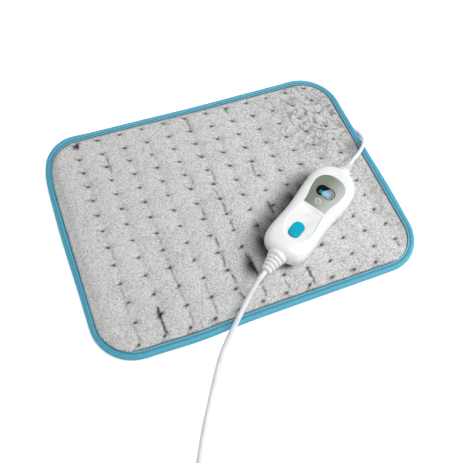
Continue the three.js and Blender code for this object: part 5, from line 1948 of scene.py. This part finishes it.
@dataclass(frozen=True)
class Controller:
    """The hand controller: two housings, display, button, boots and what is inside."""

    half_length: float = 0.072
    half_width: float = 0.0297
    height: float = 0.026
    parting: float = 0.013
    split: float = 0.00015
    wall: float = 0.002
    end_wall: float = 0.004
    ceiling: float = 0.0224
    floor_wall: float = 0.0024
    panel_low: float = 0.0006
    panel_high: float = 0.051
    panel_low_half: float = 0.0142
    panel_high_half: float = 0.0191
    panel_under: float = 0.0241
    panel_sink: float = 0.00012
    panel_thick: float = 0.0012
    panel_points: int = 96
    window_middle: float = 0.026
    window_half: Pair = (0.0079, 0.0116)
    window_top: float = 0.02555
    window_gap: float = 0.00045
    window_rounding: float = 0.0005
    field_high: float = -0.0006
    field_low: float = -0.054
    field_half: float = 0.0182
    field_floor: float = 0.0244
    button_middle: float = -0.0366
    button_half: Pair = (0.0108, 0.0069)
    button_low: float = 0.0205
    button_top: float = 0.0259
    button_rounding: float = 0.0009
    upper_rounding: tuple[Pair, ...] = (
        (0.0, 0.0), (0.27, 0.006), (0.53, 0.05), (0.74, 0.125), (0.88, 0.24), (0.955, 0.38), (0.99, 0.6), (1.0, 0.85),
    )
    lower_rounding: tuple[Pair, ...] = ((0.0, 0.0), (0.35, 0.01), (0.66, 0.06), (0.88, 0.15), (1.0, 0.28))
    well_radius: float = 0.0029
    well_top: float = 0.0046
    over: float = 0.001  # how far a cutter reaches past what it cuts
    screw_places: tuple[Pair, ...] = ((0.046, 0.0192), (0.046, -0.0192), (-0.05, 0.0192), (-0.05, -0.0192))

    def build(self) -> None:
        """Make the controller from the housings out."""
        dome = self.build_upper()
        self.build_lower()
        self.build_panel(dome)
        self.build_window()
        self.build_button()
        self.build_feel_bar()
        self.build_symbol(dome)
        self.build_boot("mains_strain_relief", "mains_boot", -1, 0.0112, 0.0058, 0.0234)
        self.build_boot("lead_strain_relief", "lead_boot", 1, 0.008, 0.0039, 0.017)
        self.dress_works()

    def outline(self, half_length: float, half_width: float) -> list[Pair]:
        """Outline of the controller, anticlockwise from the middle of its tail.

        Args:
            half_length: half its length.
            half_width: half its width.

        Returns:
            The outline's points.
        """
        knots = (
            ((-1, 0), (-1.01, 0.64), (-0.93, 0.94), (-0.64, 0.94)),
            ((-0.64, 0.94), (-0.46, 0.94), (-0.36, 0.9), (-0.17, 0.9)),
            ((-0.17, 0.9), (0.05, 0.9), (0.28, 1), (0.53, 1)),
            ((0.53, 1), (0.81, 1), (1, 0.57), (1, 0)),
        )
        side = []
        for curve in knots:
            side += bezier(*[(u * half_length, -v * half_width) for u, v in curve], 14)
        return [*side, (half_length, 0.0), *[(u, -v) for u, v in reversed(side[1:])]]

    def dome(self, name: str, rounding: Sequence[Pair], half: Pair, start: float, end: float) -> Piece:
        """Raise one half of the controller's form.

        Args:
            name: name of the form.
            rounding: share of the height, and share of the half width that is lost there.
            half: half the length and half the width.
            start: height of the wide end.
            end: height of the rounded end.

        Returns:
            The closed form.
        """
        rings = []
        for share, lost in smooth_profile(rounding, 4):
            inset = lost * half[1]
            rings.append(Ring(start + share * (end - start), 1 - inset / half[0], 1 - inset / half[1]))
        return raise_form(name, self.outline(*half), rings)

    def panel_outline(self, grow: float) -> list[Pair]:
        """Outline of the display panel.

        Args:
            grow: how far it is grown all round.

        Returns:
            The outline's points.
        """
        low, high = self.panel_low - grow, self.panel_high + grow
        low_half, half = self.panel_low_half + grow, self.panel_high_half + grow
        long = high - low
        wide = low + 0.64 * long
        side = bezier((low, -low_half), (low + 0.24 * long, -low_half), (low + 0.42 * long, -half), (wide, -half), 16)
        side += bezier((wide, -half), (low + 0.88 * long, -half), (high, -0.58 * half), (high, 0.0), 16)
        return [*side, (high, 0.0), *[(u, -v) for u, v in reversed(side)]]

    def field_outline(self) -> list[Pair]:
        """Outline of the button's sunk field.

        Returns:
            The outline's points.
        """
        high, low, half = self.field_high, self.field_low, self.field_half
        long = high - low
        wide = high - 0.48 * long
        shoulder = high - 0.33 * long
        side = bezier((high, 0.8 * half), (high - 0.2 * long, 0.88 * half), (shoulder, half), (wide, half), 16)
        side += bezier((wide, half), (high - 0.69 * long, half), (low, 0.66 * half), (low, 0.0), 16)
        return [*side, (low, 0.0), *[(u, -v) for u, v in reversed(side)]]

    def window_outline(self, grow: float) -> list[Pair]:
        """Outline of the display window, grown all round."""
        half = (self.window_half[0] + grow, self.window_half[1] + grow)
        return rounded_rectangle((self.window_middle, 0.0), half, 0.9 * half[0], 12)

    def button_outline(self, grow: float) -> list[Pair]:
        """Outline of the push button, grown all round."""
        half = (self.button_half[0] + grow, self.button_half[1] + grow)
        return rounded_rectangle((self.button_middle, 0.0), half, 0.95 * half[1], 12)

    def build_upper(self) -> BVHTree:
        """Make the upper housing with its field, pocket and openings.

        Returns:
            The plain dome as a search tree, for pieces that follow its surface.
        """
        low, gap = self.parting + self.split, 0.0003
        half = (self.half_length, self.half_width)
        housing = self.dome("controller_upper_housing", self.upper_rounding, half, low, self.height)
        tree = BVHTree.FromObject(housing, bpy.context.evaluated_depsgraph_get())
        inner = (self.half_length - self.end_wall, self.half_width - self.wall)
        above = self.height + self.over
        field = [Ring(self.field_floor, 0.935, 0.95), Ring(self.height), Ring(above, 1.02, 1.02)]
        through = [Ring(self.ceiling - self.over), Ring(self.height)]
        for hollow in (
            self.dome("hollow", self.upper_rounding, inner, self.parting - self.over, self.ceiling),
            raise_form("field", self.field_outline(), field, (self.field_low, 0.0)),
            raise_form("pocket", self.panel_outline(gap), [Ring(self.panel_under - gap), Ring(above)]),
            raise_form("opening", self.window_outline(-0.0015), through),
            raise_form("hole", self.button_outline(0.0004), through),
        ):
            carve(housing, hollow)
        soften(housing, 0.0003, 2, 50)
        settle(housing, HANDSET.frame(), 40)
        finish_piece(housing, FINISHES.housing, ["upper_housing"])
        return tree

    def build_lower(self) -> None:
        """Make the lower housing with its screw wells."""
        high = self.parting - self.split
        half = (self.half_length, self.half_width)
        housing = self.dome("controller_lower_housing", self.lower_rounding, half, high, 0.0)
        inner = (self.half_length - self.end_wall, self.half_width - self.wall)
        hollow = self.dome("hollow", self.lower_rounding, inner, self.parting + self.over, self.floor_wall)
        carve(housing, hollow)
        for u, v in self.screw_places:
            well = [(u + x, v + y) for x, y in round_outline(self.well_radius, 24)]
            carve(housing, raise_form("well", well, [Ring(-self.over), Ring(self.well_top)], (u, v)))
        settle(housing, HANDSET.frame(), 40)
        finish_piece(housing, FINISHES.housing, ["lower_housing"])

    def build_panel(self, dome: BVHTree) -> None:
        """Make the display panel, which follows the dome round the window.

        Args:
            dome: the plain dome of the upper housing.
        """
        middle = (self.window_middle, 0.0)
        corner = math.atan2(self.panel_low_half, self.panel_low - self.window_middle)
        count = self.panel_points
        turns = [2 * math.pi * k / count - math.pi for k in range(count)]
        for wanted in (corner, -corner):
            nearest = min(range(count), key=lambda k: abs(turns[k] - wanted))
            turns[nearest] = wanted
        rims = []
        for outline in (self.panel_outline(0.0), self.window_outline(0.0003)):
            take()
            bpy.ops.mesh.primitive_circle_add(vertices=count, radius=0.01)
            rim = bpy.context.object
            for vertex, (u, v) in zip(rim.data.vertices, seen_from(outline, middle, turns)):
                vertex.co = (u, v, 0.0)
            rims.append(rim)
        take(*rims)
        bpy.ops.object.join()
        panel = bpy.context.object
        panel.name = "display_foil"
        edit(panel)
        bpy.ops.mesh.bridge_edge_loops(number_cuts=7, interpolation="LINEAR")
        face_out(panel)
        for vertex in panel.data.vertices:
            vertex.co.z = dome.ray_cast(Vector((vertex.co.x, vertex.co.y, 0.1)), DOWN)[0].z - self.panel_sink
        if sum(face.normal.z for face in panel.data.polygons) < 0:
            panel.data.flip_normals()
        apply_modifier(panel, "SOLIDIFY", thickness=self.panel_thick, offset=-1.0)
        soften(panel, 0.00018, 2, 50)
        settle(panel, HANDSET.frame(), 40)
        finish_piece(panel, FINISHES.panel, ["display_panel"])

    def build_window(self) -> None:
        """Make the smoked window, slightly sunk and rounded at its rim."""
        middle = (self.window_middle, 0.0)
        rings = [Ring(self.panel_under), Ring(self.window_top - 0.0001), Ring(self.window_top, 0.985, 0.99)]
        gasket = raise_form("display_gasket", self.window_outline(0.00025), rings, middle)
        rings = [Ring(self.panel_under - self.over), Ring(self.height)]
        carve(gasket, raise_form("bore", self.window_outline(-0.0004), rings))
        settle(gasket, HANDSET.frame(), 40)
        finish_piece(gasket, FINISHES.moulding)
        gap, rounding = self.window_gap, self.window_rounding
        half = (self.window_half[0] - gap, self.window_half[1] - gap)
        rings = [Ring(self.panel_under), Ring(self.window_top - rounding)]
        for share in (0.35, 0.7, 1.0):
            lost = rounding * share * share
            rings.append(Ring(self.window_top - rounding * (1 - share), 1 - lost / half[0], 1 - lost / half[1]))
        rings.append(Ring(self.window_top + 0.00004, 0.6, 0.6))
        window = raise_form("display_lens", self.window_outline(-gap), rings, middle)
        settle(window, HANDSET.frame(), 30)
        finish_piece(window, FINISHES.window, ["display_window"])

    def build_button(self) -> None:
        """Make the push button: a rounded cap with a slightly domed face."""
        half, rounding = self.button_half, self.button_rounding
        rings = [Ring(self.button_low), Ring(self.button_top - rounding)]
        for k in range(1, 6):
            turn = math.pi / 2 * k / 5
            lost = rounding * (1 - math.cos(turn))
            height = self.button_top - rounding * (1 - math.sin(turn))
            rings.append(Ring(height, 1 - lost / half[0], 1 - lost / half[1]))
        rings += [Ring(self.button_top + 0.0001, 0.6, 0.6), Ring(self.button_top + 0.00014, 0.2, 0.2)]
        button = raise_form("push_button_cap", self.button_outline(0.0), rings, (self.button_middle, 0.0))
        settle(button, HANDSET.frame(), 30)
        finish_piece(button, FINISHES.button, ["push_button"], Body.BUTTON)

    def build_feel_bar(self) -> None:
        """Make the small raised bar in the field that a finger can feel."""
        middle = (-0.0128, 0.0)
        outline = rounded_rectangle(middle, (0.0006, 0.0034), 0.00055, 6)
        low = self.field_floor - 0.0002
        rings = [Ring(low), Ring(low + 0.0004), Ring(low + 0.0006, 0.8, 0.95), Ring(low + 0.0007, 0.4, 0.8)]
        bar = raise_form("feel_bar", outline, rings, middle)
        settle(bar, HANDSET.frame(), 50)
        finish_piece(bar, FINISHES.housing)

    def build_symbol(self, dome: BVHTree) -> None:
        """Print the plain power symbol on the panel, below the window.

        Args:
            dome: the plain dome of the upper housing.
        """
        middle = (0.0106, 0.0008)
        top = dome.ray_cast(Vector((*middle, 0.1)), DOWN)[0].z - self.panel_sink
        printed, through = [Ring(top - 0.0001), Ring(top + 0.00003)], [Ring(top - self.over), Ring(top + self.over)]
        outer, inner = (
            [(middle[0] + x, middle[1] + y) for x, y in round_outline(radius, 40)] for radius in (0.0036, 0.0029)
        )
        gap = rounded_rectangle((middle[0] + 0.0034, middle[1]), (0.0012, 0.0011), 0.0002, 4)
        ring = raise_form("panel_symbol", outer, printed, middle)
        for cut in (inner, gap):
            carve(ring, raise_form("cutter", cut, through, middle))
        stroke_outline = rounded_rectangle((middle[0] + 0.0024, middle[1]), (0.002, 0.00033), 0.00025, 4)
        stroke = raise_form("stroke", stroke_outline, printed, middle)
        take(ring, stroke)
        bpy.ops.object.join()
        symbol = bpy.context.object
        symbol.name = "panel_symbol"
        settle(symbol, HANDSET.frame())
        finish_piece(symbol, FINISHES.symbol)

    def build_boot(self, name: str, node: str, end: int, base: float, tip: float, reach: float) -> None:
        """Make one ribbed boot.

        Args:
            name: name of the piece.
            node: solid that it stands for.
            end: -1 at the controller's tail and 1 at its head.
            base: radius beside the housing.
            tip: radius where the cord leaves.
            reach: length outside the housing.
        """
        ribs, groove, depth = (4, 0.0015, 0.0027) if end < 0 else (4, 0.0017, 0.0019)
        profile = [(base * 0.62, -0.009), (base * 0.72, -0.003), (base * 0.96, -0.0008), (base * 1.03, 0.0004)]
        profile.append((base, 0.0028))
        for rib in range(ribs):
            at = reach * (rib + 1.05) / (ribs + 1.0)
            radius = base + (tip - base) * at / reach
            cut = ((-0.0001, -0.8), (0.0002, -0.52), (depth, -0.42), (depth, 0.42), (0.0002, 0.52), (0.0, 0.8))
            profile += [(radius - lost, at + groove * share) for lost, share in cut]
        profile += [(tip + 0.0001, reach - 0.0006), (tip - 0.0003, reach - 0.0001), (tip * 0.6, reach)]
        boot = turn_form(name, profile, 44)
        place = HANDSET.frame() @ Matrix.Translation((end * self.half_length, 0.0, self.parting))
        settle(boot, place @ Matrix.Rotation(end * math.pi / 2, 4, "Y"), 55)
        finish_piece(boot, FINISHES.boot, [node])

    def dress_works(self) -> None:
        """Give the solids that stay as they are their finishes."""
        worn = {
            FINISHES.silicone: ("heating_wire", "wire_end_sleeve"),
            FINISHES.jacket: ("lead_joint_block",),
            FINISHES.display: ("display_module",),
            FINISHES.moulding: ("switch_body", "triac", "control_chip", "fuse"),
            FINISHES.housing: ("switch_plunger",),
            FINISHES.board: ("circuit_board",),
            FINISHES.film_box: ("film_capacitor",),
            FINISHES.can: ("smoothing_capacitor",),
            FINISHES.zinc: (*[f"housing_screw_{n}" for n in (1, 2, 3, 4)], "board_screw_1", "board_screw_2"),
            FINISHES.live: ("mains_wire_live", "heater_wire_live"),
            FINISHES.neutral: ("mains_wire_neutral", "heater_wire_neutral"),
        }
        for finish, names in worn.items():
            for name in names:
                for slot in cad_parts[name].material_slots:
                    slot.material = finish.material()
                LOG.info("%s keeps its solid", name)


def main() -> None:
    """Build the studio and every piece."""
    logging.basicConfig(level=logging.INFO, format="%(name)s: %(message)s")
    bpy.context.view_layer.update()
    Studio().build()
    Cords().build()
    Pad().build()
    Controller().build()


if __name__ == "__main__":
    main()
